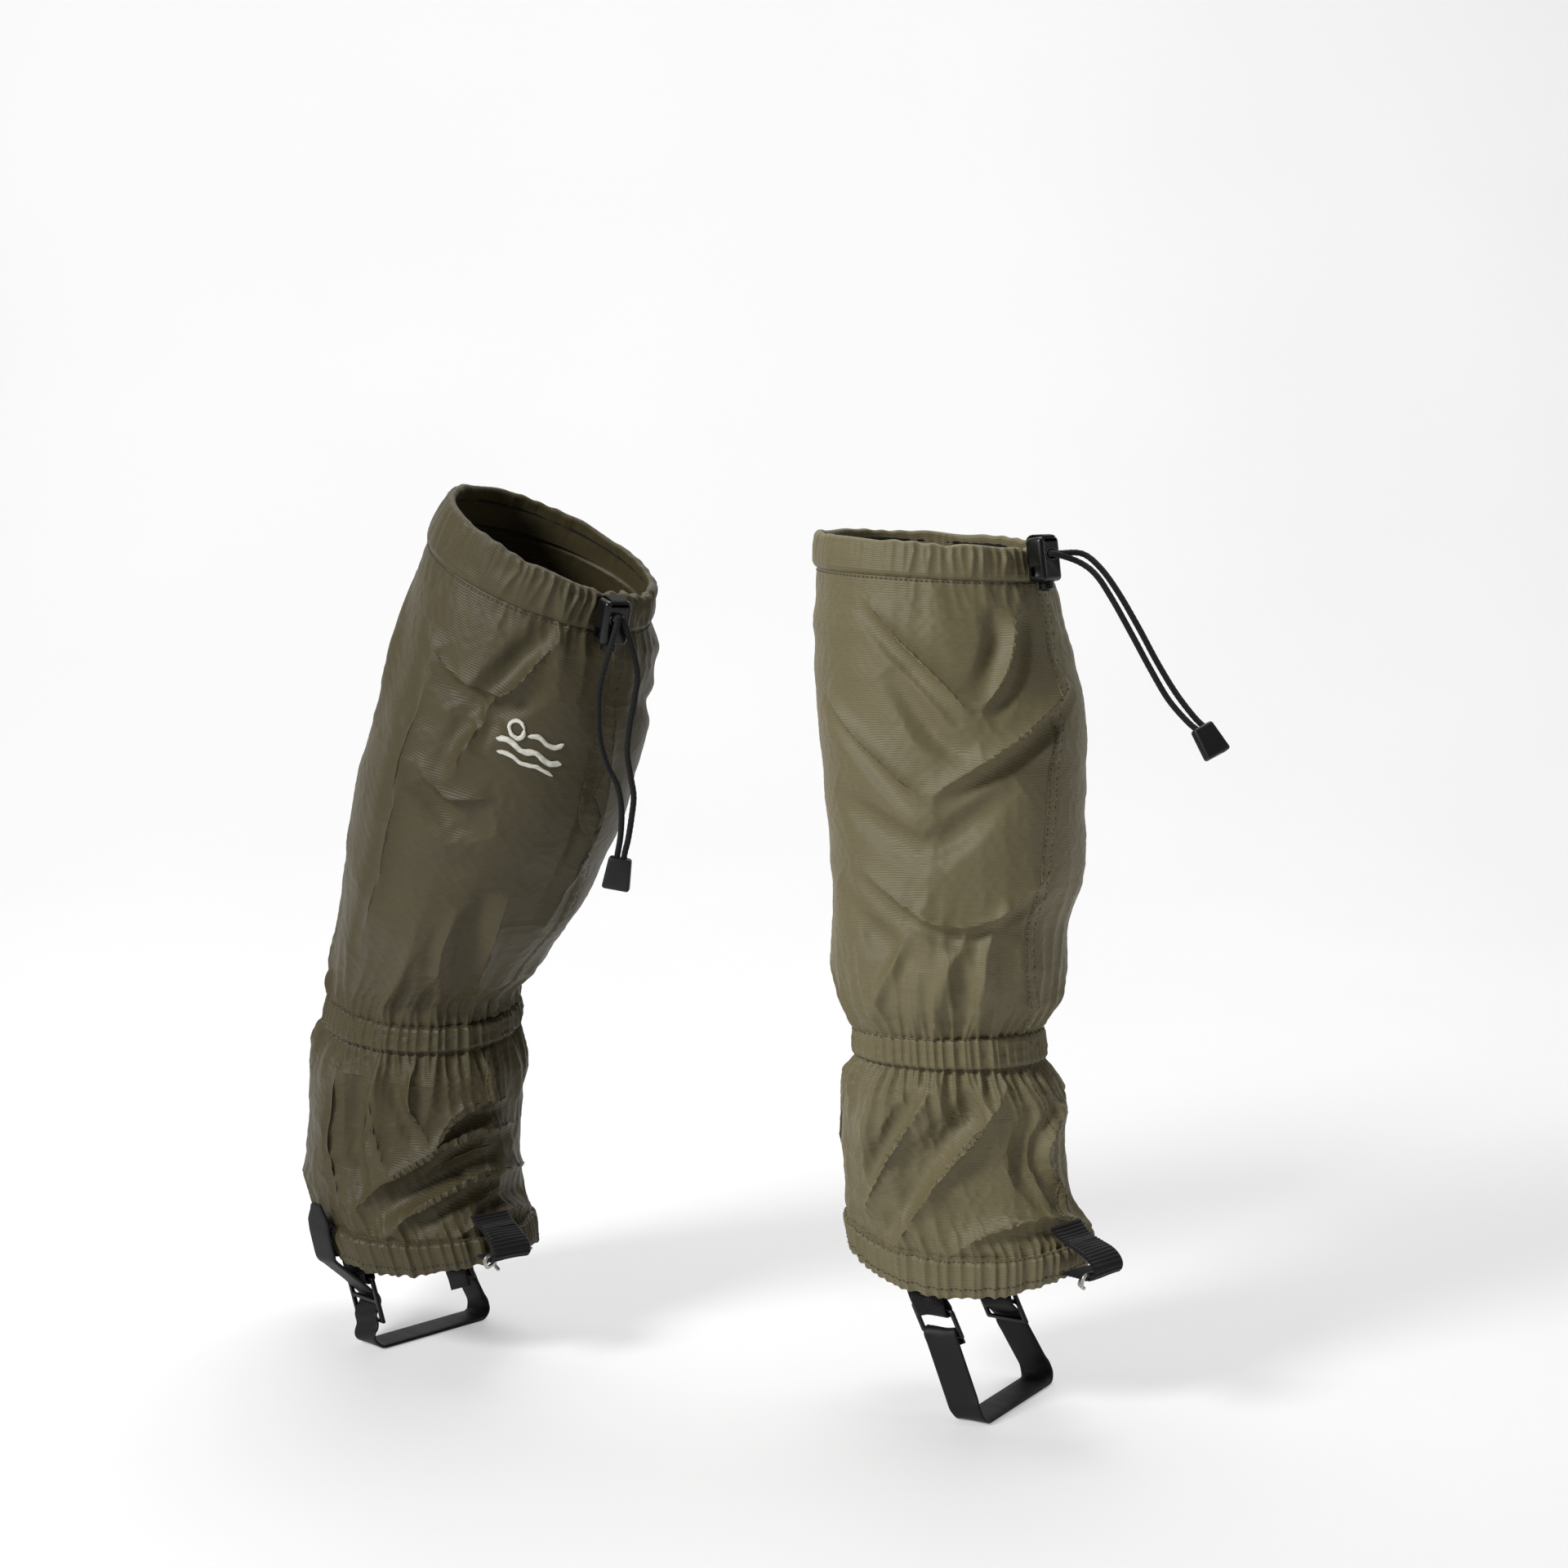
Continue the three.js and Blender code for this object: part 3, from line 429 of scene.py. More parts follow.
def tube_obj(name, path, r, sides=12, mat=None, relief=None, closed=False, caps=True):
    """Round tube (mm) with lengthwise v and around u in its UVs."""
    p = np.asarray(path, float)
    t, n, b = frames_along(p)
    a = np.arange(sides) * 2 * math.pi / sides
    length = np.r_[0, np.cumsum(np.linalg.norm(np.diff(p, axis=0), axis=1))]
    rr = np.broadcast_to(np.asarray(r, float), (len(p),))[:, None] * np.ones((1, sides))
    if relief is not None:
        rr = rr + relief(a[None, :], length[:, None])
    P = p[:, None] + rr[..., None] * (np.cos(a)[None, :, None] * n[:, None] + np.sin(a)[None, :, None] * b[:, None])
    U = np.broadcast_to(np.arange(sides + 1) * 2 * math.pi * np.mean(rr) / sides, (len(p), sides + 1))
    Vv = np.broadcast_to(length[:, None], (len(p), sides + 1))
    o = grid_obj(name, P, U, Vv, True, mat, flip=True)
    if caps:
        bm = bmesh.new()
        bm.from_mesh(o.data)
        bm.verts.ensure_lookup_table()
        lastrow = (len(p) - 1) * sides
        allv = list(bm.verts)
        for idx, centre in ((list(range(sides)), p[0] - t[0] * r if np.isscalar(r) else p[0]), (list(range(lastrow, lastrow + sides))[::-1], p[-1] + t[-1] * r if np.isscalar(r) else p[-1])):
            c = bm.verts.new(Vector(centre * MM))
            ring = [allv[k] for k in idx]
            for k in range(sides):
                bm.faces.new((ring[k], ring[(k + 1) % sides], c)).smooth = True
        bmesh.ops.recalc_face_normals(bm, faces=bm.faces)
        bm.to_mesh(o.data)
        bm.free()
    return o


def ribbon_obj(name, path, across, width, thick, mat, ribs=None, step=0.5, taper=None, crown=0.0, nacross=14, wave=None):
    """A flat band (mm) swept along a 3-D line, with rounded edges. across is one direction or one per point."""
    p = spline(path, 18) if len(path) < 200 else np.asarray(path, float)
    length = np.r_[0, np.cumsum(np.linalg.norm(np.diff(p, axis=0), axis=1))]
    k = max(8, int(length[-1] / step))
    ll = np.linspace(0, length[-1], k)
    p = np.stack([np.interp(ll, length, p[:, c]) for c in range(3)], -1)
    for _ in range(3):
        p[1:-1] = (p[:-2] + 2 * p[1:-1] + p[2:]) / 4
    t = np.gradient(p, axis=0)
    t /= np.linalg.norm(t, axis=1, keepdims=True)
    w = np.broadcast_to(np.asarray(across, float), p.shape)
    w = w - (np.sum(w * t, 1)[:, None]) * t
    w /= np.linalg.norm(w, axis=1, keepdims=True)
    n = np.cross(t, w)
    half = np.full(k, width / 2.0)
    if taper is not None:
        half = half * taper(ll, length[-1])
    # section: rounded rectangle
    us = np.linspace(-1, 1, nacross)
    top = [(u, 1.0) for u in us]
    edge = thick / width * 1.0
    sec = []
    for u in us:
        e = max(0.0, abs(u) - (1 - edge)) / edge
        sec.append((u, math.sqrt(max(0, 1 - e * e)) if e < 1 else 0.0))
    ring = [(u, h) for u, h in sec] + [(u, -h) for u, h in sec[::-1][1:-1]]
    m = len(ring)
    P = np.zeros((k, m, 3))
    U = np.zeros((k, m + 1))
    for c, (u, h) in enumerate(ring):
        th = thick / 2.0
        extra = 0.0
        if ribs is not None:
            extra = ribs(u * width / 2, ll) * (1 if h > 0.2 else (-1 if h < -0.2 else 0))
        lift = crown * (1 - u * u)
        if wave is not None:
            lift = lift + wave(u, ll)
        P[:, c] = p + w * (u * half)[:, None] + n * (h * th + extra + lift)[:, None] if np.ndim(extra) or np.ndim(lift) else p + w * (u * half)[:, None] + n * (h * th + extra + lift)
        U[:, c] = u * width / 2
    U[:, m] = U[:, 0]
    Vv = np.broadcast_to(ll[:, None], (k, m + 1))
    o = grid_obj(name, P, U, Vv, True, mat, flip=False)
    bm = bmesh.new()
    bm.from_mesh(o.data)
    bm.verts.ensure_lookup_table()
    bm.faces.new([bm.verts[c] for c in range(m)]).smooth = False
    bm.faces.new([bm.verts[(k - 1) * m + c] for c in range(m)][::-1]).smooth = False
    bmesh.ops.recalc_face_normals(bm, faces=bm.faces)
    bm.to_mesh(o.data)
    bm.free()
    return o, p, t, w, n


def solid_obj(name, build, matrix=None, mat=None, sharp=32.0):
    """An object built in its own frame in mm by build(bm), then placed by a 4x4 in mm."""
    bm = bmesh.new()
    build(bm)
    if matrix is not None:
        bm.transform(matrix)
    bm.transform(Matrix.Scale(MM, 4))
    bmesh.ops.recalc_face_normals(bm, faces=bm.faces)
    me = bpy.data.meshes.new(name)
    bm.to_mesh(me)
    bm.free()
    me.polygons.foreach_set("use_smooth", [True] * len(me.polygons))
    me.update()
    me.set_sharp_from_angle(angle=math.radians(sharp))
    if mat is not None:
        me.materials.append(mat)
    return link(bpy.data.objects.new(name, me))


def rounded_box(size, r, segments=4, centre=(0, 0, 0)):
    def build(bm):
        bmesh.ops.create_cube(bm, size=1.0)
        bmesh.ops.scale(bm, vec=Vector(size), verts=bm.verts)
        bmesh.ops.bevel(bm, geom=bm.edges[:], offset=r, segments=segments, profile=0.5, affect="EDGES", clamp_overlap=True)
        bmesh.ops.translate(bm, vec=Vector(centre), verts=bm.verts)
    return build


def lathe(profile, sides=40, axis="z"):
    """Turned shape from (radius, height) pairs."""
    def build(bm):
        rings = []
        for r, z in profile:
            if r < 1e-6:
                rings.append([bm.verts.new((0, 0, z))])
            else:
                rings.append([bm.verts.new((r * math.cos(a * 2 * math.pi / sides), r * math.sin(a * 2 * math.pi / sides), z)) for a in range(sides)])
        for a, b in zip(rings[:-1], rings[1:]):
            for i in range(sides):
                j = (i + 1) % sides
                if len(a) == 1 and len(b) == 1:
                    continue
                if len(a) == 1:
                    bm.faces.new((a[0], b[i], b[j]))
                elif len(b) == 1:
                    bm.faces.new((a[i], b[0], a[j]))
                else:
                    bm.faces.new((a[i], b[i], b[j], a[j]))
        if len(rings[0]) > 1 and len(rings[-1]) > 1:
            pass
    return build


def apply_mods(o):
    dg = bpy.context.evaluated_depsgraph_get()
    me = bpy.data.meshes.new_from_object(o.evaluated_get(dg), depsgraph=dg)
    mats = [m for m in o.data.materials]
    o.modifiers.clear()
    o.data = me
    if not me.materials and mats:
        for m in mats:
            me.materials.append(m)
    return o


def cut_by(o, *tools, bevel=0.25, sharp=32.0):
    """o minus the tools, its new edges broken a little."""
    for t in tools:
        m = o.modifiers.new("cut", "BOOLEAN")
        m.operation, m.solver, m.object = "DIFFERENCE", "EXACT", t
    if bevel:
        b = o.modifiers.new("edge", "BEVEL")
        b.width, b.segments, b.limit_method, b.angle_limit = bevel * MM, 2, "ANGLE", math.radians(50)
    apply_mods(o)
    for t in tools:
        bpy.data.objects.remove(t)
    o.data.polygons.foreach_set("use_smooth", [True] * len(o.data.polygons))
    o.data.update()
    o.data.set_sharp_from_angle(angle=math.radians(sharp))
    return o


def basis(o, x, y, z):
    m = Matrix.Identity(4)
    for c, v in enumerate((x, y, z, o)):
        for r in range(3):
            m[r][c] = float(v[r])
    return m


def place(m, pts):
    a = np.array(m, float)
    return np.asarray(pts, float) @ a[:3, :3].T + a[:3, 3]


def stitches(name, line, normal, pitch, length, r, mat, sink=0.15):
    """Real thread stitches laid along a line (mm)."""
    d = np.r_[0, np.cumsum(np.linalg.norm(np.diff(line, axis=0), axis=1))]
    verts, faces, uvs = [], [], []
    prof = [(0.0, 0.12), (0.12, 0.75), (0.5, 1.0), (0.88, 0.75), (1.0, 0.12)]
    k = int(d[-1] / pitch)
    a = np.arange(6) * math.pi / 3
    for q in range(k):
        s0 = q * pitch + 0.5 * (pitch - length)
        base = len(verts)
        for f, rad in prof:
            x = s0 + f * length
            c = np.array([np.interp(x, d, line[:, e]) for e in range(3)])
            n = np.array([np.interp(x, d, normal[:, e]) for e in range(3)])
            n /= np.linalg.norm(n)
            x2 = np.array([np.interp(min(x + 0.4, d[-1]), d, line[:, e]) for e in range(3)]) - np.array([np.interp(max(x - 0.4, 0), d, line[:, e]) for e in range(3)])
            x2 /= max(np.linalg.norm(x2), 1e-9)
            b = np.cross(x2, n)
            lift = n * (r * (math.sin(math.pi * f) * 0.9 - 0.35) - sink)
            for t in a:
                verts.append(c + lift + rad * r * (math.cos(t) * n * 0.9 + math.sin(t) * b))
        for row in range(len(prof) - 1):
            for t in range(6):
                t2 = (t + 1) % 6
                faces.append((base + row * 6 + t, base + row * 6 + t2, base + (row + 1) * 6 + t2, base + (row + 1) * 6 + t))
        faces.append(tuple(base + t for t in range(5, -1, -1)))
        faces.append(tuple(base + 24 + t for t in range(6)))
    o = mesh_obj(name, verts, faces, mat=mat)
    return o


# ---------------------------------------------------------------- materials
def srgb(r, g, b):
    return tuple((c / 255 / 12.92) if c / 255 <= 0.04045 else ((c / 255 + 0.055) / 1.055) ** 2.4 for c in (r, g, b)) + (1.0,)


class Mat:
    """A small node-tree writer."""

    def __init__(self, name):
        self.m = bpy.data.materials.new(name)
        self.m.use_nodes = True
        self.t = self.m.node_tree
        self.bsdf = self.t.nodes["Principled BSDF"]
        self.coord = self.t.nodes.new("ShaderNodeTexCoord")

    def node(self, kind, **kw):
        n = self.t.nodes.new(kind)
        for k, v in kw.items():
            if hasattr(n, k):
                setattr(n, k, v)
            else:
                n.inputs[k].default_value = v
        return n

    def wire(self, a, b):
        self.t.links.new(a, b)

    def uv(self, scale=(1, 1, 1), turn=0.0, which="UV"):
        n = self.node("ShaderNodeMapping")
        n.inputs["Scale"].default_value = scale
        n.inputs["Rotation"].default_value = (0, 0, turn)
        self.wire(self.coord.outputs[which], n.inputs["Vector"])
        return n.outputs["Vector"]

    def noise(self, vec, scale, detail=3.0, rough=0.5):
        n = self.node("ShaderNodeTexNoise")
        n.inputs["Scale"].default_value = scale
        n.inputs["Detail"].default_value = detail
        n.inputs["Roughness"].default_value = rough
        self.wire(vec, n.inputs["Vector"])
        return n.outputs["Fac"]

    def wave(self, vec, scale, direction="X", distortion=0.0, kind="BANDS"):
        n = self.node("ShaderNodeTexWave", wave_type=kind, bands_direction=direction)
        n.inputs["Scale"].default_value = scale
        n.inputs["Distortion"].default_value = distortion
        n.inputs["Detail"].default_value = 1.0
        self.wire(vec, n.inputs["Vector"])
        return n.outputs["Fac"]

    def math(self, op, a, b=0.0):
        n = self.node("ShaderNodeMath", operation=op)
        for k, v in ((0, a), (1, b)):
            if isinstance(v, (int, float)):
                n.inputs[k].default_value = v
            else:
                self.wire(v, n.inputs[k])
        return n.outputs[0]

    def ramp(self, fac, stops):
        n = self.node("ShaderNodeValToRGB")
        while len(n.color_ramp.elements) < len(stops):
            n.color_ramp.elements.new(0.5)
        for e, (p, c) in zip(n.color_ramp.elements, stops):
            e.position, e.color = p, c
        self.wire(fac, n.inputs["Fac"])
        return n.outputs["Color"]

    def range(self, fac, lo, hi):
        n = self.node("ShaderNodeMapRange")
        n.inputs["To Min"].default_value = lo
        n.inputs["To Max"].default_value = hi
        self.wire(fac, n.inputs["Value"])
        return n.outputs["Result"]

    def bump(self, height, strength, distance, normal=None):
        n = self.node("ShaderNodeBump")
        n.inputs["Strength"].default_value = strength
        n.inputs["Distance"].default_value = distance
        self.wire(height, n.inputs["Height"])
        if normal is not None:
            self.wire(normal, n.inputs["Normal"])
        return n.outputs["Normal"]

    def done(self, colour=None, rough=None, normal=None, **kw):
        for k, v in kw.items():
            self.bsdf.inputs[k.replace("_", " ")].default_value = v
        if colour is not None:
            self.wire(colour, self.bsdf.inputs["Base Color"])
        if rough is not None:
            self.wire(rough, self.bsdf.inputs["Roughness"])
        if normal is not None:
            self.wire(normal, self.bsdf.inputs["Normal"])
        return self.m


def nylon(name, base, dark=0.86, light=1.1):
    """Plain-woven nylon: fine weft ribs with painted shade in their hollows, satin sheen, slight random tone and wear
    variation.
    """
    m = Mat(name)
    uv = m.uv()
    weft = m.wave(uv, 240, "Y", 0.12)
    warp = m.wave(uv, 420, "X", 0.12)
    big = m.noise(uv, 9, 3)
    streak = m.noise(m.uv((30, 1500, 1)), 1.0, 2)
    fine = m.noise(uv, 900, 2)
    mix = m.math("ADD", m.math("MULTIPLY", big, 0.35), m.math("ADD", m.math("MULTIPLY", streak, 0.4), m.math("MULTIPLY", fine, 0.25)))
    colour = m.ramp(mix, [(0.32, tuple(c * dark for c in base[:3]) + (1,)), (0.5, base), (0.7, tuple(min(1, c * light) for c in base[:3]) + (1,))])
    # the weft wave darkens the colour in the rib hollows: painted shade
    dim = m.node("ShaderNodeMixRGB", blend_type="MULTIPLY")
    dim.inputs["Fac"].default_value = 0.34
    m.wire(colour, dim.inputs["Color1"])
    m.wire(m.ramp(weft, [(0.0, (0.72, 0.72, 0.72, 1)), (1.0, (1, 1, 1, 1))]), dim.inputs["Color2"])
    rough = m.range(m.math("ADD", m.math("MULTIPLY", fine, 0.5), m.math("MULTIPLY", streak, 0.5)), 0.42, 0.58)
    n1 = m.bump(m.noise(uv, 60, 2, 0.5), 0.10, 0.0008)
    n2 = m.bump(m.math("ADD", weft, m.math("MULTIPLY", warp, 0.4)), 0.40, 0.00026, n1)
    n3 = m.bump(fine, 0.2, 0.0002, n2)
    return m.done(dim.outputs["Color"], rough, n3, Sheen_Weight=0.05, Sheen_Roughness=0.4, Sheen_Tint=tuple(min(1, c * 3.2) for c in base[:3]) + (1,), Specular_IOR_Level=0.30)


def webbing(name, base, pitch_v=1.9, pitch_u=1.6):
    m = Mat(name)
    uv = m.uv()
    rib = m.wave(uv, 1000 / pitch_v / 6.283 * 2, "Y", 0.3)
    yarn = m.wave(uv, 1000 / pitch_u / 6.283 * 2, "X", 0.3)
    fuzz = m.noise(uv, 1400, 3)
    # the colour is darker where the rib wave is low, in the rib hollows: painted shade, mixed with random fuzz tone
    colour = m.ramp(m.math("ADD", m.math("MULTIPLY", rib, 0.5), m.math("MULTIPLY", fuzz, 0.5)), [(0.25, tuple(c * 0.55 for c in base[:3]) + (1,)), (0.75, base)])
    n1 = m.bump(rib, 0.5, 0.0004)
    n2 = m.bump(yarn, 0.35, 0.0003, n1)
    n3 = m.bump(fuzz, 0.35, 0.0002, n2)
    return m.done(colour, m.range(fuzz, 0.62, 0.85), n3, Sheen_Weight=0.06, Sheen_Roughness=0.5, Specular_IOR_Level=0.22)


def plastic(name, base, rough=(0.28, 0.42), grain=500.0, wear=0.35):
    m = Mat(name)
    p = m.uv(which="Object")
    g = m.noise(p, grain, 3)
    big = m.noise(p, 60, 4, 0.6)
    colour = m.ramp(m.math("ADD", m.math("MULTIPLY", g, 0.35), m.math("MULTIPLY", big, 0.65)), [(0.35, tuple(c * 0.7 for c in base[:3]) + (1,)), (0.62, base), (0.78, tuple(min(1, c * (1 + wear)) for c in base[:3]) + (1,))])
    n1 = m.bump(big, 0.12, 0.0006)
    n2 = m.bump(g, 0.18, 0.00012, n1)
    return m.done(colour, m.range(big, *rough), n2, Specular_IOR_Level=0.38, Coat_Weight=0.05, Coat_Roughness=0.3)


def coated(name, base):
    """Smooth coated strap: soft satin skin with fine creases."""
    m = Mat(name)
    uv = m.uv()
    grain = m.noise(uv, 700, 4, 0.6)
    crease = m.noise(m.uv((20, 160, 1)), 1.0, 3)
    colour = m.ramp(m.math("ADD", m.math("MULTIPLY", grain, 0.4), m.math("MULTIPLY", crease, 0.6)), [(0.3, tuple(c * 0.75 for c in base[:3]) + (1,)), (0.6, base), (0.8, tuple(min(1, c * 1.5) for c in base[:3]) + (1,))])
    n1 = m.bump(crease, 0.25, 0.0005)
    n2 = m.bump(grain, 0.25, 0.00015, n1)
    return m.done(colour, m.range(crease, 0.48, 0.64), n2, Specular_IOR_Level=0.28)


def braid(name, base):
    m = Mat(name)
    uv = m.uv()
    a = m.wave(m.uv((1, 1, 1), 0.9), 260, "X", 0.1)
    b = m.wave(m.uv((1, 1, 1), -0.9), 260, "X", 0.1)
    k = m.math("MAXIMUM", a, b)
    fuzz = m.noise(uv, 2200, 2)
    # the colour is darker where the crossing strands are low, in the hollows between them: painted shade, mixed with
    # random fuzz tone
    colour = m.ramp(m.math("ADD", m.math("MULTIPLY", k, 0.6), m.math("MULTIPLY", fuzz, 0.4)), [(0.3, tuple(c * 0.45 for c in base[:3]) + (1,)), (0.8, base)])
    n = m.bump(k, 0.6, 0.0005)
    n2 = m.bump(fuzz, 0.3, 0.0002, n)
    return m.done(colour, m.range(fuzz, 0.6, 0.85), n2, Sheen_Weight=0.06, Sheen_Roughness=0.5, Specular_IOR_Level=0.25)


def metal(name, base, rough=(0.3, 0.45)):
    m = Mat(name)
    p = m.uv(which="Object")
    g = m.noise(p, 900, 3)
    big = m.noise(p, 120, 3)
    colour = m.ramp(big, [(0.3, tuple(c * 0.6 for c in base[:3]) + (1,)), (0.7, base)])
    n = m.bump(g, 0.15, 0.0001)
    return m.done(colour, m.range(big, *rough), n, Metallic=1.0)


def thread(name, base):
    m = Mat(name)
    p = m.uv(which="Object")
    g = m.noise(p, 2600, 2)
    colour = m.ramp(g, [(0.3, tuple(c * 0.7 for c in base[:3]) + (1,)), (0.7, base)])
    return m.done(colour, m.range(g, 0.45, 0.65), m.bump(g, 0.4, 0.0002), Sheen_Weight=0.3)


# One fabric and one thread in lit and shaded copies: the left gaiter's tones are painted lighter and the right gaiter's
# darker, as painted light and painted shade for how the light falls on each.
CLOTH = {"left": nylon("nylon_left", srgb(107, 99, 72)), "right": nylon("nylon_right", srgb(69, 62, 40))}
THREAD = {"left": thread("thread_left_painted_light", srgb(52, 46, 32)), "right": thread("thread_right_painted_shade", srgb(38, 34, 24))}
BLACK_WEB = webbing("webbing", srgb(16, 16, 16))
HOOK_WEB = webbing("hook_webbing", srgb(19, 19, 20), 2.4, 1.5)
PLASTIC = plastic("moulded_plastic", srgb(11, 11, 11))
SATIN = plastic("cord_end_plastic", srgb(14, 14, 14), (0.42, 0.55), 700)
STRAP = coated("coated_strap", srgb(11, 11, 11))
CORD = braid("elastic_cord", srgb(14, 13, 13))
ELASTIC = webbing("elastic_band", srgb(34, 33, 32), 1.2, 2.4)
STEEL = metal("spring_steel", (0.62, 0.62, 0.60, 1))
HOOK_WIRE = metal("hook_wire", (0.50, 0.49, 0.46, 1), (0.35, 0.5))
BOBBIN = thread("bartack_thread", srgb(26, 25, 24))
EMBROIDERY = thread("embroidery", srgb(222, 220, 208))

# ------------------------------------------------------------------- cloth


def upsample(D, rows, cols):
    """A grid of vectors, periodic in columns, read on a finer grid smoothly."""
    n, m = D.shape[:2]
    js = np.linspace(0, n - 1, rows)
    out = cubic_axis(D, js, False)
    is_ = np.arange(cols) * m / cols
    return cubic_axis(out.transpose(1, 0, 2), is_, True).transpose(1, 0, 2)


def cubic_axis(A, at, wrap):
    n = len(A)
    i = np.floor(at).astype(int)
    if not wrap:
        i = np.minimum(i, n - 2)
    t = (at - i)[:, None, None]
    pick = (lambda k: A[k % n]) if wrap else (lambda k: A[np.clip(k, 0, n - 1)])
    p0, p1, p2, p3 = pick(i - 1), pick(i), pick(i + 1), pick(i + 2)
    return 0.5 * (2 * p1 + (p2 - p0) * t + (2 * p0 - 5 * p1 + 4 * p2 - p3) * t ** 2 + (3 * p1 - p0 - 3 * p2 + p3) * t ** 3)


def settle(g, tag, s0, s1, rows, cols, folds, noise_amp, excess, hold, seed, frames=22):
    """Drapes a fabric tube: the drawn folds seed it, and the cloth solver finds how the slack cloth lies.
    Returns the moved grid's displacement from the smooth surface (mm) on rows x cols."""
    v0, v1 = float(v_of(g, s0)), float(v_of(g, s1))
    v = np.linspace(v0, v1, rows)
    s = s_of(g, v)[:, None] * np.ones((1, cols))
    phi = np.arange(cols)[None, :] * 2 * math.pi / cols * np.ones((rows, 1))
    P = surf(g, s, phi)
    N = normals(P)
    ph = (phi + math.pi) % (2 * math.pi) - math.pi
    h = fold_field(g, s, ph, folds)
    rng = np.random.RandomState(seed)
    n1 = smooth_noise((rows, cols), (max(4, rows // 12), 9), rng)
    n2 = smooth_noise((rows, cols), (max(6, rows // 5), 17), rng)
    edge = np.minimum(1, np.minimum(v - v0, v1 - v) / 22.0)[:, None]
    h = h * (0.35 + 0.65 * edge) + noise_amp * (n1 * 0.65 + n2 * 0.35) * edge
    Q = P + N * h[..., None]
    if not SIM:
        return Q - P, s, phi
    cloth = grid_obj(tag + "_cloth", Q, np.zeros((rows, cols + 1)), np.zeros((rows, cols + 1)), True)
    group = cloth.vertex_groups.new(name="pin")
    weight = np.full((rows, cols), hold)
    weight[:2] = 1.0
    weight[-2:] = 1.0
    for k in range(rows * cols):
        group.add([k], float(weight.flat[k]), "REPLACE")
    inner = grid_obj(tag + "_leg_inside", surf(g, s, phi, -7.5), np.zeros((rows, cols + 1)), np.zeros((rows, cols + 1)), True)
    inner.modifiers.new("hit", "COLLISION")
    inner.collision.thickness_outer = 0.001
    mod = cloth.modifiers.new("cloth", "CLOTH")
    cs = mod.settings
    cs.quality = 5
    cs.mass = 0.12
    cs.tension_stiffness = cs.compression_stiffness = 18
    cs.shear_stiffness = 8
    cs.bending_stiffness = 16.0
    cs.air_damping = 3
    cs.vertex_group_mass = "pin"
    cs.pin_stiffness = 1.0
    cs.shrink_min = cs.shrink_max = -excess
    mod.collision_settings.distance_min = 0.001
    mod.collision_settings.collision_quality = 2
    mod.point_cache.frame_start, mod.point_cache.frame_end = 1, frames
    scene = bpy.context.scene
    scene.frame_start, scene.frame_end = 1, frames
    for f in range(1, frames + 1):
        scene.frame_set(f)
    dg = bpy.context.evaluated_depsgraph_get()
    me = cloth.evaluated_get(dg).to_mesh()
    co = np.zeros(rows * cols * 3, np.float32)
    me.vertices.foreach_get("co", co)
    cloth.evaluated_get(dg).to_mesh_clear()
    R = co.reshape(rows, cols, 3).astype(float) / MM
    low = R - Q
    for _ in range(3):  # the solver's finest crumple is finer than this cloth shows
        pad = np.vstack([low[:1], low, low[-1:]])
        low = 0.25 * pad[:-2] + 0.5 * low + 0.25 * pad[2:]
        low = 0.25 * np.roll(low, 1, 1) + 0.5 * low + 0.25 * np.roll(low, -1, 1)
    R = Q + low + 0.3 * (R - Q - low)
    bpy.data.objects.remove(cloth)
    bpy.data.objects.remove(inner)
    scene.frame_set(1)
    move = R - P
    far = np.linalg.norm(move, axis=-1).max()
    print(f"settled {tag}: most {far:.1f} mm, mean change {np.linalg.norm(R - Q, axis=-1).mean():.2f} mm")
    return move, s, phi


def dent(v, at, width, depth):
    return -depth * np.exp(-((v - at) / width) ** 2)


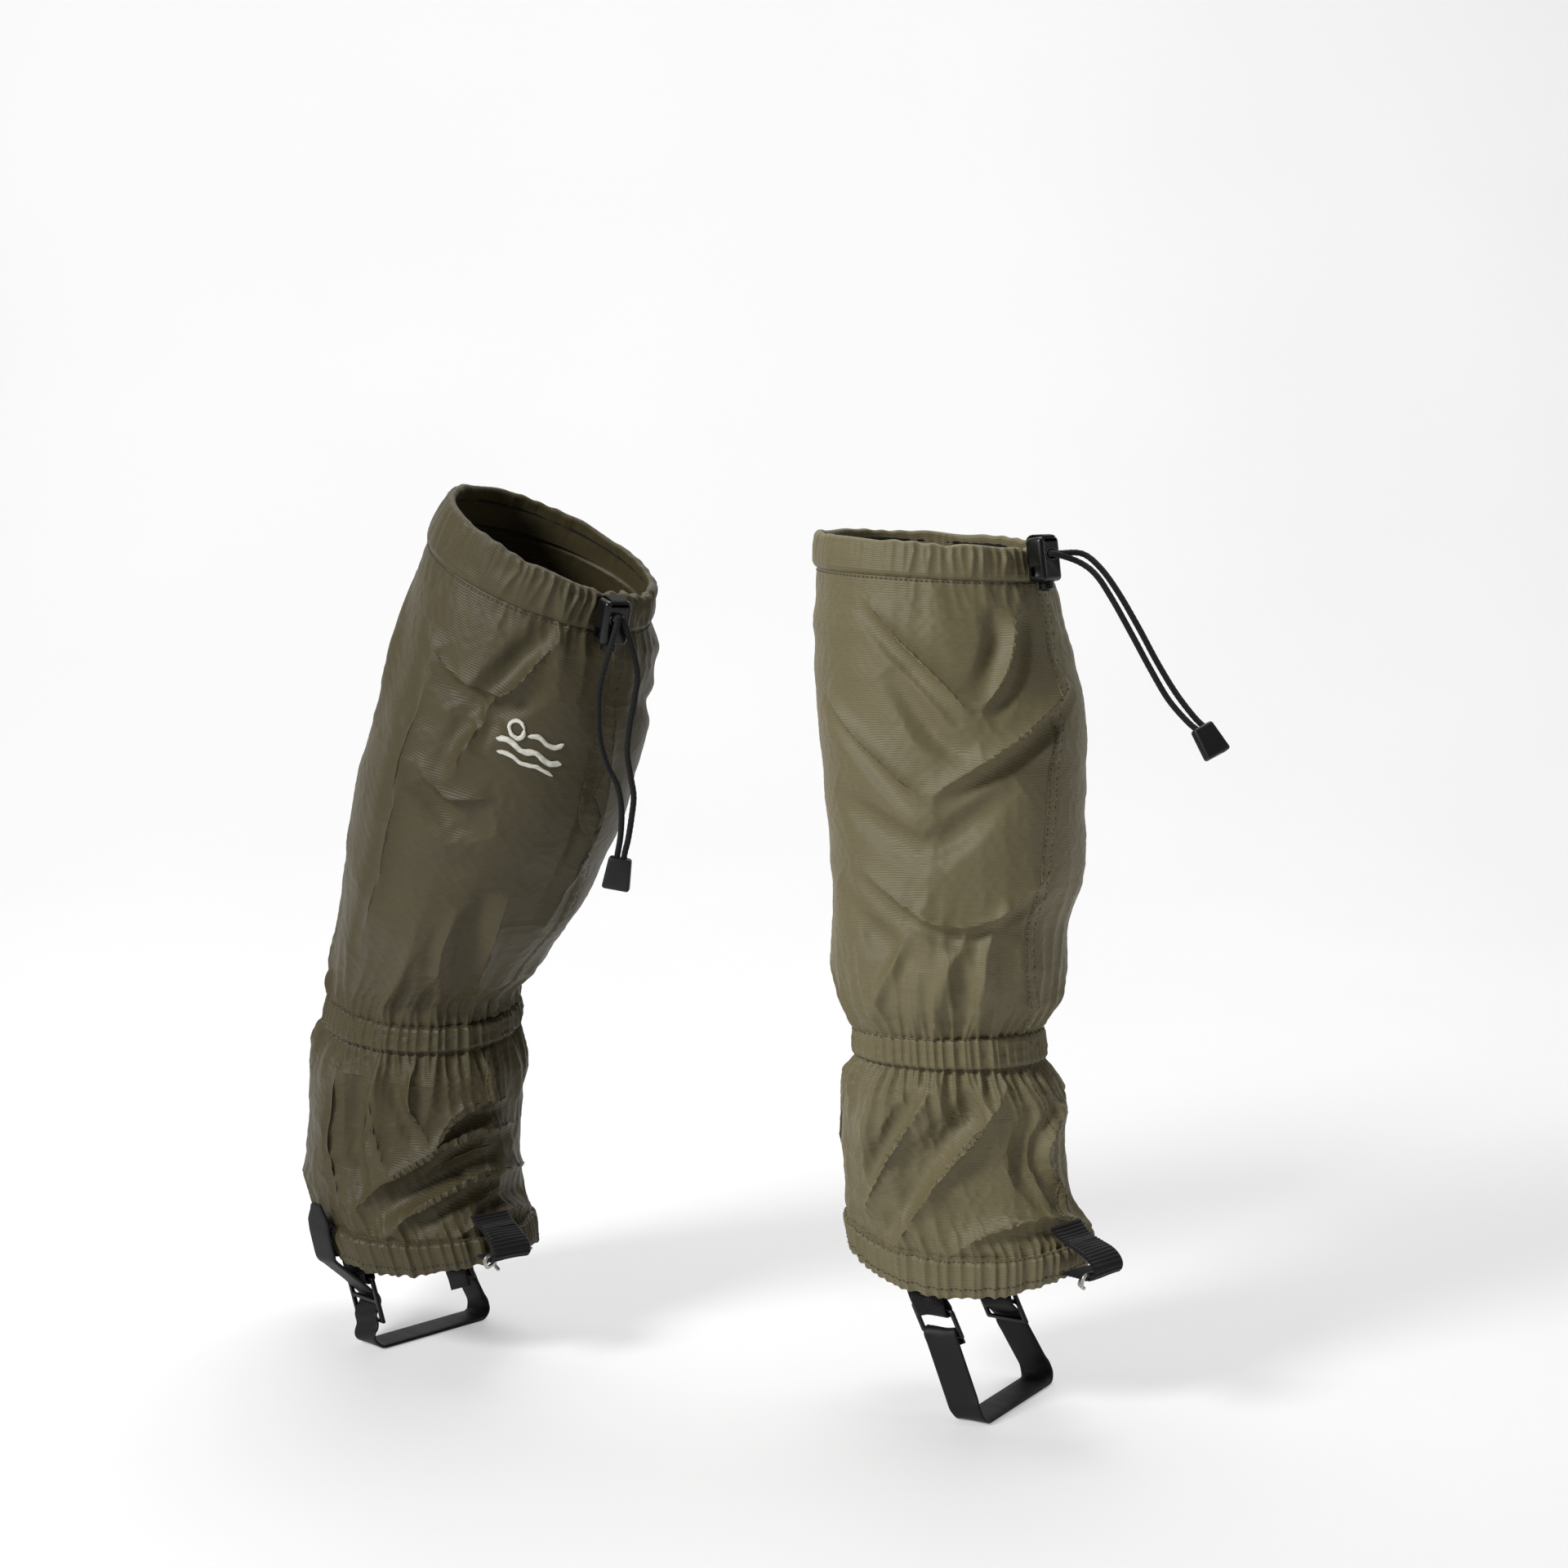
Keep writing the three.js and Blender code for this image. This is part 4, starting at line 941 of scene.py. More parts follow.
def fabric(g):
    """All cloth of one gaiter as separate cut pieces that meet at their stitch rows."""
    side, W, E = g["side"], g["waist"], g["last"]
    sgn = 1 if side == "left" else 2
    def columns(m):
        f = np.arange(m) * 2 * math.pi / m
        w = (f + math.pi) % (2 * math.pi) - math.pi
        return m, f, np.arange(m + 1) * 2 * math.pi / m * 72.0, near(w)

    def near(w):
        return np.exp(-(((w - math.radians(-10) + math.pi) % (2 * math.pi) - math.pi) / 0.85) ** 2)
    mat = CLOTH[side]
    waist_pleats = make_pleats(g, 10 + sgn, 64)
    hem_pleats = make_pleats(g, 20 + sgn, 72)
    top_pleats = make_pleats(g, 30 + sgn, 78)
    fan_waist = make_pleats(g, 40 + sgn, 21, 0.45)
    fan_hem = make_pleats(g, 44 + sgn, 19, 0.45)
    fan_top = make_pleats(g, 48 + sgn, 20, 0.45)
    v_top, v_stitch = 0.0, float(v_of(g, 1.0))
    v_w0, v_w1 = float(v_of(g, W)), float(v_of(g, W + 1))
    v_end = float(v_of(g, E))
    hem_h = 16.5
    v_hem = v_end - hem_h
    g.update(v_stitch=v_stitch, v_w0=v_w0, v_w1=v_w1, v_end=v_end, v_hem=v_hem)

    def seam_relief(V, PH):
        a = seam_angle(g, s_of(g, V))
        x = ((PH - a + math.pi) % (2 * math.pi) - math.pi) * 70.0
        return 0.25 * np.exp(-(x / 4.6) ** 6) - 0.55 * np.exp(-((np.abs(x) - 3.4) / 0.8) ** 2)

    def surface(vs, move, phi):
        V = vs[:, None] * np.ones((1, len(phi)))
        PH = phi[None, :] * np.ones((len(vs), 1))
        P = surf(g, s_of(g, V), PH)
        if move is not None:
            P = P + move
        return V, PH, P

    # the leg tube
    rows = 222
    LEG_COLS, phi, U, near_lock = columns(440)
    vs = np.linspace(v_stitch, v_w0, rows)
    move, _, _ = settle(g, side + "_leg", 1.0, W, 92, 132, FOLDS[side + "_leg"], 1.9, 0.024, 0.52, 50 + sgn)
    V, PH, P = surface(vs, upsample(move, rows, LEG_COLS), phi)
    PHW = (PH + math.pi) % (2 * math.pi) - math.pi
    N = normals(P)
    h = pleat_field(g, PHW, v_w0 - V, waist_pleats, 3.0, 32, "up", 2.0)
    h += pleat_field(g, PHW, v_w0 - V, fan_waist, 2.6, 62, "up", 4.2) * np.clip((v_w0 - V) / 8, 0.2, 1)
    h += near_lock[None, :] * pleat_field(g, PHW, V - v_stitch, fan_top, 3.0, 38, "down", 4.0) * np.clip((V - v_stitch) / 6, 0.1, 1)
    h += (0.25 + near_lock[None, :]) * pleat_field(g, PHW, V - v_stitch, top_pleats, 1.6, 18, "down", 2.0)
    h += seam_relief(V, PHW)
    rg = np.random.RandomState(110 + sgn)
    inside = np.clip(np.minimum(V - v_stitch, v_w0 - V) / 25, 0, 1)
    patch = np.clip(0.5 + smooth_noise(V.shape, (4, 6), rg), 0, 1)
    h += inside * (0.7 * ridged(V.shape, (4, 7), rg, 0.5) * patch + 0.3 * ridged(V.shape, (6, 11), rg, -0.6) * (1 - patch))
    h += dent(V, v_stitch + 0.4, 1.2, 0.35) + dent(V, v_w0 - 0.5, 1.4, 0.6)
    leg = P + N * h[..., None]
    g["leg"] = dict(P=leg, vs=vs)
    o = grid_obj(side + "_leg_fabric", leg, np.tile(U, (rows, 1)), np.tile(vs[:, None], (1, LEG_COLS + 1)), True, mat)
    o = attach(o, side + "_leg")
    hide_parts(side + "_leg_panel")
    pieces = {"leg": o}
    leg_top_row, leg_bottom_row = leg[0], leg[-1]

    # the drawcord casing: up the outside, over the rim and down the inside
    turn = np.linspace(0, math.pi, 13)[1:-1]
    depth = 4.6
    LEG_COLS, phi, U, near_lock = columns(640)
    leg_top_row = resample_row(leg_top_row, LEG_COLS)
    out_v = np.linspace(v_stitch, 2.2, 36)
    in_v = np.linspace(2.2, v_stitch - 3.2, 26)
    offs = [0.0] * 36 + [-(depth / 2) * (1 - math.cos(a)) for a in turn] + [-depth] * 26
    vv = list(out_v) + [2.2 - 2.2 * math.sin(a) for a in turn] + list(in_v)
    arc = np.r_[0, np.cumsum(np.hypot(np.diff(vv), np.diff(offs)))]
    Vc = np.array(vv)[:, None] * np.ones((1, LEG_COLS))
    Oc = np.array(offs)[:, None] * np.ones((1, LEG_COLS))
    PHc = phi[None, :] * np.ones((len(vv), 1))
    PHcw = (PHc + math.pi) % (2 * math.pi) - math.pi
    P = surf(g, s_of(g, np.maximum(Vc, 0)), PHc, Oc)
    base_n = surf(g, s_of(g, np.maximum(Vc, 0)), PHc, Oc + 1.0) - P
    base_n /= np.linalg.norm(base_n, axis=-1, keepdims=True)
    gather = 0.4 + 1.7 * near_lock[None, :]
    rim = np.exp(-((Vc - 4.0) / 7.0) ** 2)
    body = np.sin(np.clip(Vc / v_stitch, 0, 1) * math.pi) ** 0.5
    h = gather * (pleat_field(g, PHcw, np.abs(Vc - 5.0), top_pleats, 1.7, 22, "up", 1.8)) * (0.35 + 0.65 * np.clip(body + rim, 0, 1))
    puff = 0.55 * body * np.where(Oc > -depth / 2, 1.0, 0.25)
    h = h * np.where(Oc > -depth / 2, 1.0, -0.5) + puff
    rngc = np.random.RandomState(70 + sgn)
    wob = smooth_noise((len(vv), LEG_COLS), (5, 22), rngc)
    h += 0.5 * wob * body
    up = np.zeros_like(P)
    rim_wave = (0.5 + 1.1 * near_lock) * (np.sin(PHcw * 23 + 3 * np.sin(PHcw * 5)) * 0.8 + np.sin(PHcw * 9 + 1.3) * 0.9 - 0.8)
    up[..., 2] = (rim_wave[0] if rim_wave.ndim > 1 else rim_wave)[None, :] * rim
    C = P + base_n * h[..., None] + up
    blendw = np.clip(1 - arc / 3.0, 0, 1)[:, None, None]
    C = C * (1 - blendw) + leg_top_row[None] * blendw
    g["casing"] = dict(P=C, arc=arc)
    o = grid_obj(side + "_top_casing_fabric", C, np.tile(U, (len(vv), 1)), np.tile(-arc[:, None] + v_stitch, (1, LEG_COLS + 1)), True, mat, flip=True)
    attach(o, side + "_leg")
    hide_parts(side + "_top_casing")
    pieces["casing"] = o

    # the boot cover
    rows = 150
    LEG_COLS, phi, U, near_lock = columns(640)
    vs = np.linspace(v_w1, v_hem, rows)
    move, _, _ = settle(g, side + "_boot", W + 1, float(s_of(g, v_hem)), 56, 132, FOLDS[side + "_boot"], 1.9, 0.03, 0.52, 60 + sgn)
    V, PH, P = surface(vs, upsample(move, rows, LEG_COLS), phi)
    PHW = (PH + math.pi) % (2 * math.pi) - math.pi
    N = normals(P)
    h = pleat_field(g, PHW, V - v_w1, waist_pleats, 3.1, 30, "down", 2.0)
    h += pleat_field(g, PHW, V - v_w1, fan_waist, 2.8, 46, "down", 4.2) * np.clip((V - v_w1) / 8, 0.2, 1)
    h += pleat_field(g, PHW, v_hem - V, fan_hem, 2.4, 30, "up", 4.0) * np.clip((v_hem - V) / 7, 0.2, 1)
    h += pleat_field(g, PHW, v_hem - V, hem_pleats, 2.5, 18, "up", 2.0)
    h += seam_relief(V, PHW)
    rg = np.random.RandomState(120 + sgn)
    inside = np.clip(np.minimum(V - v_w1, v_hem - V) / 14, 0, 1)
    patch = np.clip(0.5 + smooth_noise(V.shape, (3, 7), rg), 0, 1)
    h += inside * (0.9 * ridged(V.shape, (2, 7), rg, 1.5) * patch + 0.5 * ridged(V.shape, (3, 11), rg, -1.3) * (1 - patch))
    h += dent(V, v_w1 + 0.5, 1.4, 0.6) + dent(V, v_hem - 0.5, 1.2, 0.6)
    boot = P + N * h[..., None]
    g["boot"] = dict(P=boot, vs=vs)
    o = grid_obj(side + "_boot_fabric", boot, np.tile(U, (rows, 1)), np.tile(vs[:, None], (1, LEG_COLS + 1)), True, mat)
    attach(o, side + "_boot_cover")
    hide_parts(side + "_boot_panel")
    pieces["boot"] = o
    boot_top_row, boot_bottom_row = boot[0], boot[-1]

    # the elasticated ankle band
    rows = 36
    LEG_COLS, phi, U, near_lock = columns(760)
    leg_bottom_row = resample_row(leg_bottom_row, LEG_COLS)
    boot_top_row = resample_row(boot_top_row, LEG_COLS)
    vs = np.linspace(v_w0, v_w1, rows)
    V, PH, P = surface(vs, None, phi)
    PHW = (PH + math.pi) % (2 * math.pi) - math.pi
    N = normals(P)
    t = (V - v_w0) / (v_w1 - v_w0)
    h = 2.1 * (pleat_field(g, PHW, 0 * V, waist_pleats, 1.0, 30, "up", 1.9) * (1 - t) + pleat_field(g, PHW, 0 * V, waist_pleats, 1.0, 30, "down", 1.9) * t) * (0.65 + 0.35 * np.sin(np.pi * t))
    h += 0.5 * np.sin(np.pi * t) ** 0.7 + 0.35
    h += 0.3 * smooth_noise(V.shape, (5, 60), np.random.RandomState(80 + sgn))
    band = P + N * h[..., None]
    w0 = np.clip(1 - (V - v_w0) / 2.0, 0, 1)[..., None]
    w1 = np.clip(1 - (v_w1 - V) / 2.0, 0, 1)[..., None]
    band = band * (1 - w0) + leg_bottom_row[None] * w0
    band = band * (1 - w1) + boot_top_row[None] * w1
    g["band"] = dict(P=band, vs=vs)
    o = grid_obj(side + "_ankle_band_fabric", band, np.tile(U, (rows, 1)), np.tile(vs[:, None], (1, LEG_COLS + 1)), True, mat)
    top_c, low_c = band[0].mean(0) * MM, band[-1].mean(0) * MM
    g["bend"] = (low_c, top_c)
    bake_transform(o)
    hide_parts(side + "_ankle_casing")
    pieces["band"] = o

    # the hem: outside face, turned under round the elastic and up the inside
    out_v = np.linspace(v_hem, v_end - 1.6, 26)
    turn = np.linspace(0, math.pi, 11)[1:-1]
    in_v = np.linspace(v_end - 1.6, v_end - 9.0, 14)
    depth = 4.6
    LEG_COLS, phi, U, near_lock = columns(760)
    boot_bottom_row = resample_row(boot_bottom_row, LEG_COLS)
    offs = np.array([0.0] * 26 + [-(depth / 2) * (1 - math.cos(a)) for a in turn] + [-depth] * 14)
    vv = np.array(list(out_v) + [v_end - 1.6 + 1.6 * math.sin(a) for a in turn] + list(in_v))
    arc = np.r_[0, np.cumsum(np.hypot(np.diff(vv), np.diff(offs)))]
    Vc = vv[:, None] * np.ones((1, LEG_COLS))
    Oc = offs[:, None] * np.ones((1, LEG_COLS))
    PHc = phi[None, :] * np.ones((len(vv), 1))
    PHcw = (PHc + math.pi) % (2 * math.pi) - math.pi
    P = surf(g, s_of(g, Vc), PHc, Oc)
    base_n = surf(g, s_of(g, Vc), PHc, Oc + 1.0) - P
    base_n /= np.linalg.norm(base_n, axis=-1, keepdims=True)
    t = np.clip((Vc - v_hem) / hem_h, 0, 1)
    h = pleat_field(g, PHcw, 0 * Vc, hem_pleats, 2.5, 30, "up", 1.9) * (1 - 0.3 * t)
    h += 0.6 * np.sin(np.pi * t) ** 0.6
    h *= np.where(Oc > -depth / 2, 1.0, 0.2)
    h += 0.35 * smooth_noise(Vc.shape, (4, 50), np.random.RandomState(90 + sgn))
    H = P + base_n * h[..., None]
    scallop = 1.2 * pleat_field(g, PHcw, 0 * Vc, hem_pleats, 1.0, 30, "down", 2.6)
    H[..., 2] -= scallop * np.exp(-((v_end - Vc) / 5.0) ** 2)
    w0 = np.clip(1 - arc / 2.0, 0, 1)[:, None, None]
    H = H * (1 - w0) + boot_bottom_row[None] * w0
    g["hem"] = dict(P=H, arc=arc)
    o = grid_obj(side + "_hem_fabric", H, np.tile(U, (len(vv), 1)), np.tile(arc[:, None] + v_hem, (1, LEG_COLS + 1)), True, mat)
    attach(o, side + "_boot_cover")
    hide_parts(side + "_hem_casing")
    pieces["hem"] = o
    return pieces


def row_line(P, row, off=0.25, shift=0):
    """A closed line round a cloth grid at a fractional row, and its normals."""
    j = int(row)
    f = row - j
    a = P[j] * (1 - f) + P[min(j + 1, len(P) - 1)] * f
    N = normals(P)
    n = N[min(j, len(P) - 1)]
    line = a + n * off
    return np.vstack([line, line[:1]]), np.vstack([n, n[:1]])


def sample(grid, N, row, phi):
    """Point and normal of a cloth grid at fractional rows and angles."""
    P = grid
    m = P.shape[1]
    j = np.clip(row, 0, len(P) - 1.001)
    i = (phi % (2 * math.pi)) / (2 * math.pi) * m
    j0, i0 = j.astype(int), i.astype(int)
    fj, fi = (j - j0)[:, None], (i - i0)[:, None]
    i1 = (i0 + 1) % m
    i0 = i0 % m
    def at(A):
        return (A[j0, i0] * (1 - fi) + A[j0, i1] * fi) * (1 - fj) + (A[j0 + 1, i0] * (1 - fi) + A[j0 + 1, i1] * fi) * fj
    n = at(N)
    return at(P), n / np.linalg.norm(n, axis=1, keepdims=True)


def seam_strip(g, part, body, node):
    """Raised felled seam down the front, with its two stitch rows."""
    side = g["side"]
    P, vs = g[part]["P"], g[part]["vs"]
    N = normals(P)
    if part == "leg":
        v = np.linspace(vs[0] + 0.6, vs[-1] - 1.0, 300)
    else:
        stop = float(v_of(g, g["hook"][0])) - 1.0
        v = np.linspace(vs[0] + 1.0, min(vs[-1] - 1, stop), 140)
    a = seam_angle(g, s_of(g, v))
    rows = np.interp(v, vs, np.arange(len(vs)))
    r = radius_of(g, s_of(g, v))
    us = np.array([-4.5, -4.3, -3.9, -2.8, -1.4, 0, 1.4, 2.8, 3.9, 4.3, 4.5])
    hs = np.array([-0.5, 0.25, 0.55, 0.34, 0.66, 0.72, 0.66, 0.34, 0.55, 0.25, -0.5])
    G = np.zeros((len(v), len(us), 3))
    for c, (u, h) in enumerate(zip(us, hs)):
        p, n = sample(P, N, rows, a + u / r)
        wob = 0.12 * np.sin(v * 1.9 + c) + 0.16 * np.sin(v * 0.83)
        G[:, c] = p + n * (h + wob * (1 if 2 < c < 8 else 0.3))[:, None] if np.ndim(wob) else p
    o = grid_obj(side + "_front_seam_" + part, G, np.tile(us, (len(v), 1)), np.tile(v[:, None], (1, len(us))), False, CLOTH[side])
    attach(o, body)
    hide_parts(node)
    out = [o]
    for k, u in enumerate((-2.8, 2.8)):
        p, n = sample(P, N, rows, a + u / r)
        st = stitches(f"{side}_front_stitch_{part}_{k}", p + n * 0.42, n, 3.1, 2.5, 0.34, THREAD[side])
        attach(st, body)
        out.append(st)
    return out


def cloth_stitches(g):
    side = g["side"]
    t = THREAD[side]
    made = []

    def row(name, P, r, body=None, blend=False, pitch=3.0):
        line, n = row_line(P, r)
        o = stitches(f"{side}_{name}", line, n, pitch, pitch * 0.8, 0.33, t, sink=0.05)
        if blend:
            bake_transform(o)
        else:
            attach(o, body)
        made.append(o)
    row("casing_stitch", g["leg"]["P"], 1.2, side + "_leg")
    row("waist_stitch_upper", g["band"]["P"], 2.0, blend=True)
    row("waist_stitch_lower", g["band"]["P"], 33.0, blend=True)
    row("hem_stitch_upper", g["hem"]["P"], 2.2, side + "_boot_cover")
    row("hem_stitch_lower", g["hem"]["P"], 20.5, side + "_boot_cover")
    return made


for g in GAITERS:
    g["pieces"] = fabric(g)
    seam_strip(g, "leg", g["side"] + "_leg", g["side"] + "_front_seam_upper")
    seam_strip(g, "boot", g["side"] + "_boot_cover", g["side"] + "_front_seam_lower")
    cloth_stitches(g)


# ------------------------------------------------------------------ hardware
PLACE = {
    "left": dict(
        lock=basis((196.45, -67.88, 489.48), (-0.6464, -0.7593, 0.0746), (0.7561, -0.6244, 0.1961), (-0.1023, 0.1831, 0.9777)),
        hook=basis((210.56, -102.71, 112.78), (0.682, -0.7314, 0), (0, 0, 1), (-0.7314, -0.682, 0)),
        stirrup=basis((149.29, -50.82, 0), (0.8660254, -0.5, 0), (0.5, 0.8660254, 0), (0, 0, 1)),
        strands={"a": [[157.7, -146.3, 495.4], [165.2, -150.5, 492.8], [174.8, -156.1, 485.8], [184.5, -161.7, 472.9], [195.5, -168.1, 454.3], [205.7, -173.9, 435.6], [215.8, -179.8, 419.3], [225.8, -185.6, 406.7]],
                 "b": [[156.6, -150.0, 491.3], [163.2, -153.8, 488.6], [172.4, -159.1, 482.1], [181.2, -164.2, 469.2], [191.8, -170.3, 450.5], [202.0, -176.2, 431.9], [211.6, -181.8, 416.0], [222.1, -187.8, 404.4]]},
        cut=1, mouth={"a": -2.2, "b": 2.2}, end=([228.0, -189.0, 404.0], [235.9, -193.6, 391.0]), tail=[(49.6, 0), (50.6, 12), (52.4, 24)]),
    "right": dict(
        lock=basis((-42.12, -87.58, 457.94), (-0.8446, -0.5284, 0.0861), (0.5094, -0.8426, -0.1748), (0.1649, -0.1038, 0.9808)),
        hook=basis((-122.64, -1.58, 90.93), (0.5592, -0.829, 0), (0, 0, 1), (-0.829, -0.5592, 0)),
        stirrup=basis((-180.33, 73.14, 0), (0.69466, -0.71934, 0), (0.71934, 0.69466, 0), (0, 0, 1)),
        strands={"a": [[-94.9, -175.4, 451.9], [-98.2, -172.6, 440.2], [-101.1, -170.6, 424.0], [-102.6, -169.5, 406.5], [-102.0, -166.5, 390.3], [-98.1, -164.9, 375.7], [-92.8, -164.6, 364.6], [-90.6, -164.8, 351.6], [-91.1, -164.7, 337.2], [-92.9, -164.6, 326.0]],
                 "b": [[-85.1, -170.8, 453.5], [-82.6, -167.4, 444.0], [-81.3, -165.9, 430.2], [-82.8, -165.6, 414.1], [-85.7, -165.4, 398.0], [-87.1, -165.3, 383.6], [-85.4, -165.3, 370.3], [-83.7, -165.5, 358.7], [-85.1, -165.3, 345.7], [-87.0, -165.2, 334.0], [-89.0, -165.0, 326.0]]},
        cut=0, mouth={"a": 2.2, "b": -2.2}, end=([-91.0, -164.8, 325.3], [-94.2, -164.3, 306.0]), tail=[(56.0, 0), (60.5, 18), (62.6, 36)]),
}


def tool(build, m):
    return solid_obj("tool", build, m)


def cylinder(r, z0, z1, sides=40, axis="z"):
    def build(bm):
        bmesh.ops.create_cone(bm, cap_ends=True, segments=sides, radius1=r, radius2=r, depth=z1 - z0)
        bmesh.ops.translate(bm, vec=(0, 0, (z0 + z1) / 2), verts=bm.verts)
        if axis == "y":
            bmesh.ops.rotate(bm, cent=(0, 0, 0), matrix=Matrix.Rotation(math.pi / 2, 3, "X"), verts=bm.verts)
    return build


def box_at(x0, x1, y0, y1, z0, z1):
    return rounded_box((x1 - x0, y1 - y0, z1 - z0), min(x1 - x0, y1 - y0, z1 - z0) * 0.12, 2, ((x0 + x1) / 2, (y0 + y1) / 2, (z0 + z1) / 2))


def cord_lock(g, d):
    side, m = g["side"], d["lock"]
    body = solid_obj(side + "_cord_lock_body", rounded_box((17, 12, 25), 2.7, 5), m, PLASTIC)
    body = cut_by(body, tool(cylinder(4.8, -20, 8.0), m), tool(rounded_box((8.4, 16, 4.2), 1.9, 4, (0, 0, 2.5)), m), tool(box_at(-5.5, 5.5, -8, 8, 9.5, 11.1), m), tool(box_at(4.9, 9.6, -3.4, 3.4, -9.2, -3.6), m), tool(box_at(-9.6, -4.9, -3.4, 3.4, -9.2, -3.6), m), bevel=0.3)
    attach(body, side + "_leg")
    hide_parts(side + "_lock_body")
    # raised lip round the cord mouth, and a moulded bar over the tab's slot
    a = np.linspace(0, 2 * math.pi, 49)
    lip = np.stack([5.0 * np.sign(np.cos(a)) * np.abs(np.cos(a)) ** 0.8, 6.05 + 0 * a, 2.5 + 2.9 * np.sign(np.sin(a)) * np.abs(np.sin(a)) ** 0.8], -1)
    lip_o = tube_obj(side + "_cord_lock_lip", place(m, lip), 0.55, 10, PLASTIC, caps=False)
    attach(lip_o, side + "_leg")
    # button: turned, grooved and domed, with its cross hole
    prof = [(0, -17.6), (1.8, -17.5), (3.2, -17.15), (4.0, -16.6)]
    z = -16.4
    while z < -10.5:
        prof += [(4.35, z), (4.35, z + 0.55), (4.0, z + 0.75), (4.0, z + 1.0)]
        z += 1.2
    prof += [(4.35, -10.3), (4.35, 2.6), (4.0, 3.0), (0, 3.0)]
    button = solid_obj(side + "_cord_lock_plunger", lathe(prof, 44), m, PLASTIC)
    button = cut_by(button, tool(rounded_box((7.8, 16, 4.2), 1.8, 4, (0, 0, -1.5)), m), bevel=0)
    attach(button, side + "_cord_lock_button")
    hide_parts(side + "_lock_button")
    # coil spring behind the button
    t = np.linspace(0, 4.5 * 2 * math.pi, 150)
    zz = 3.7 + (7.3 - 3.7) * np.clip((t - math.pi) / (t[-1] - 2 * math.pi), 0, 1)
    spring = tube_obj(side + "_cord_lock_spring", place(m, np.stack([3.1 * np.cos(t), 3.1 * np.sin(t), zz], -1)), 0.32, 8, STEEL)
    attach(spring, side + "_leg")
    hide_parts(side + "_lock_spring")
    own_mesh(spring)
    # woven tab that holds the lock to the casing, stitched down behind it
    path = place(m, [[0, -7.3, -1.5], [0, -7.3, 3], [0, -7.1, 8], [0, -6.6, 12.0], [0, -4.0, 13.6], [0, 0.0, 13.4], [0, 3.6, 13.0], [0, 5.6, 12.2]])
    tab, *_ = ribbon_obj(side + "_lock_tab_webbing", path, np.array(m, float)[:3, 0], 10.6, 1.0, BLACK_WEB, ribs=lambda u, l: 0.09 * np.sin(l * 3.6), step=0.35)
    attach(tab, side + "_leg")
    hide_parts(side + "_lock_tab")
    return body


def drawcord(g, d):
    side, m = g["side"], d["lock"]
    e0, e1 = (np.array(p) + SHIFT for p in d["end"])
    down = (e1 - e0) / np.linalg.norm(e1 - e0)
    last = {k: np.array(d["strands"][k][-1]) + SHIFT for k in "ab"}
    across = last["a"] - last["b"]
    across = across - (across @ down) * down
    across /= np.linalg.norm(across)
    o = e0 + down * 1.62
    em = basis(o, across, np.cross(down, across), down)
    # end fitting: two moulded halves round the knot, with a rolled top edge and a cord hole
    w0, w1, h = 12.8, 15.8, 18.6

    def trap(bm):
        bmesh.ops.create_cube(bm, size=1.0)
        for v in bm.verts:
            k = 0.5 + v.co.z
            v.co.x *= w0 + (w1 - w0) * k
            v.co.y *= 7.2 - 0.6 * (1 - k)
            v.co.z = h * k
        bmesh.ops.bevel(bm, geom=bm.edges[:], offset=1.7, segments=5, profile=0.5, affect="EDGES", clamp_overlap=True)
    shell = solid_obj(side + "_cord_end_cover", trap, em, SATIN)
    shell = cut_by(shell, tool(rounded_box((8.6, 4.2, 10), 1.6, 3, (0, 0, 0.5)), em), tool(rounded_box((9.0, 4.4, 6), 0.8, 3, (0, 0, h)), em), tool(rounded_box((11.5, 0.8, 0.7), 0.2, 2, (0, 3.75, 14.6)), em), tool(rounded_box((11.5, 0.8, 0.7), 0.2, 2, (0, -3.75, 14.6)), em), bevel=0.22)
    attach(shell, side + "_leg")
    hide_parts(side + "_cord_end_shell")
    plug = solid_obj(side + "_cord_end_plug", rounded_box((8.2, 3.8, 13.6), 0.7, 3, (0, 0, 11.6)), em, PLASTIC)
    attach(plug, side + "_leg")
    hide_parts(side + "_cord_end_insert")
    for k in "ab":
        x = d["mouth"][k]
        start = place(m, [[x, 1.0, 2.5], [x, 3.6, 2.5], [x, 6.4, 2.5], [x, 9.4, 2.3]])
        pts = np.array(d["strands"][k])[1 + (1 - d["cut"]):] + SHIFT
        end = o + across * (2.1 if k == "a" else -2.1) + down * 2.6
        route = np.vstack([start, pts, end[None]])
        line = spline(route, 14)
        seg = np.r_[0, np.cumsum(np.linalg.norm(np.diff(line, axis=0), axis=1))]
        fine = np.stack([np.interp(np.linspace(0, seg[-1], 420), seg, line[:, c]) for c in range(3)], -1)
        for _ in range(14):
            fine[1:-1] = (fine[:-2] + 2 * fine[1:-1] + fine[2:]) / 4

        def relief(a, l):
            return 0.085 * np.maximum(np.cos(4 * a + l * 2.0), np.cos(4 * a - l * 2.0))
        c = tube_obj(f"{side}_drawcord_{k}", fine, 1.66, 20, CORD, relief=relief)
        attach(c, side + "_leg")
        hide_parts(f"{side}_drawcord_strand_{k}")
        length = float(np.linalg.norm(np.diff(fine, axis=0), axis=1).sum()) * MM
        g["cord_" + k] = length
    # the run of the cord inside the top casing
    s0 = float(seam_angle(g, 0.3))
    a = s0 + math.radians(6) + np.linspace(0, math.radians(348), 260)
    ring = surf(g, 0.3, a, -3.4)
    loop = tube_obj(side + "_drawcord_in_casing", ring, 1.5, 12, CORD)
    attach(loop, side + "_leg")
    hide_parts(side + "_drawcord_loop")


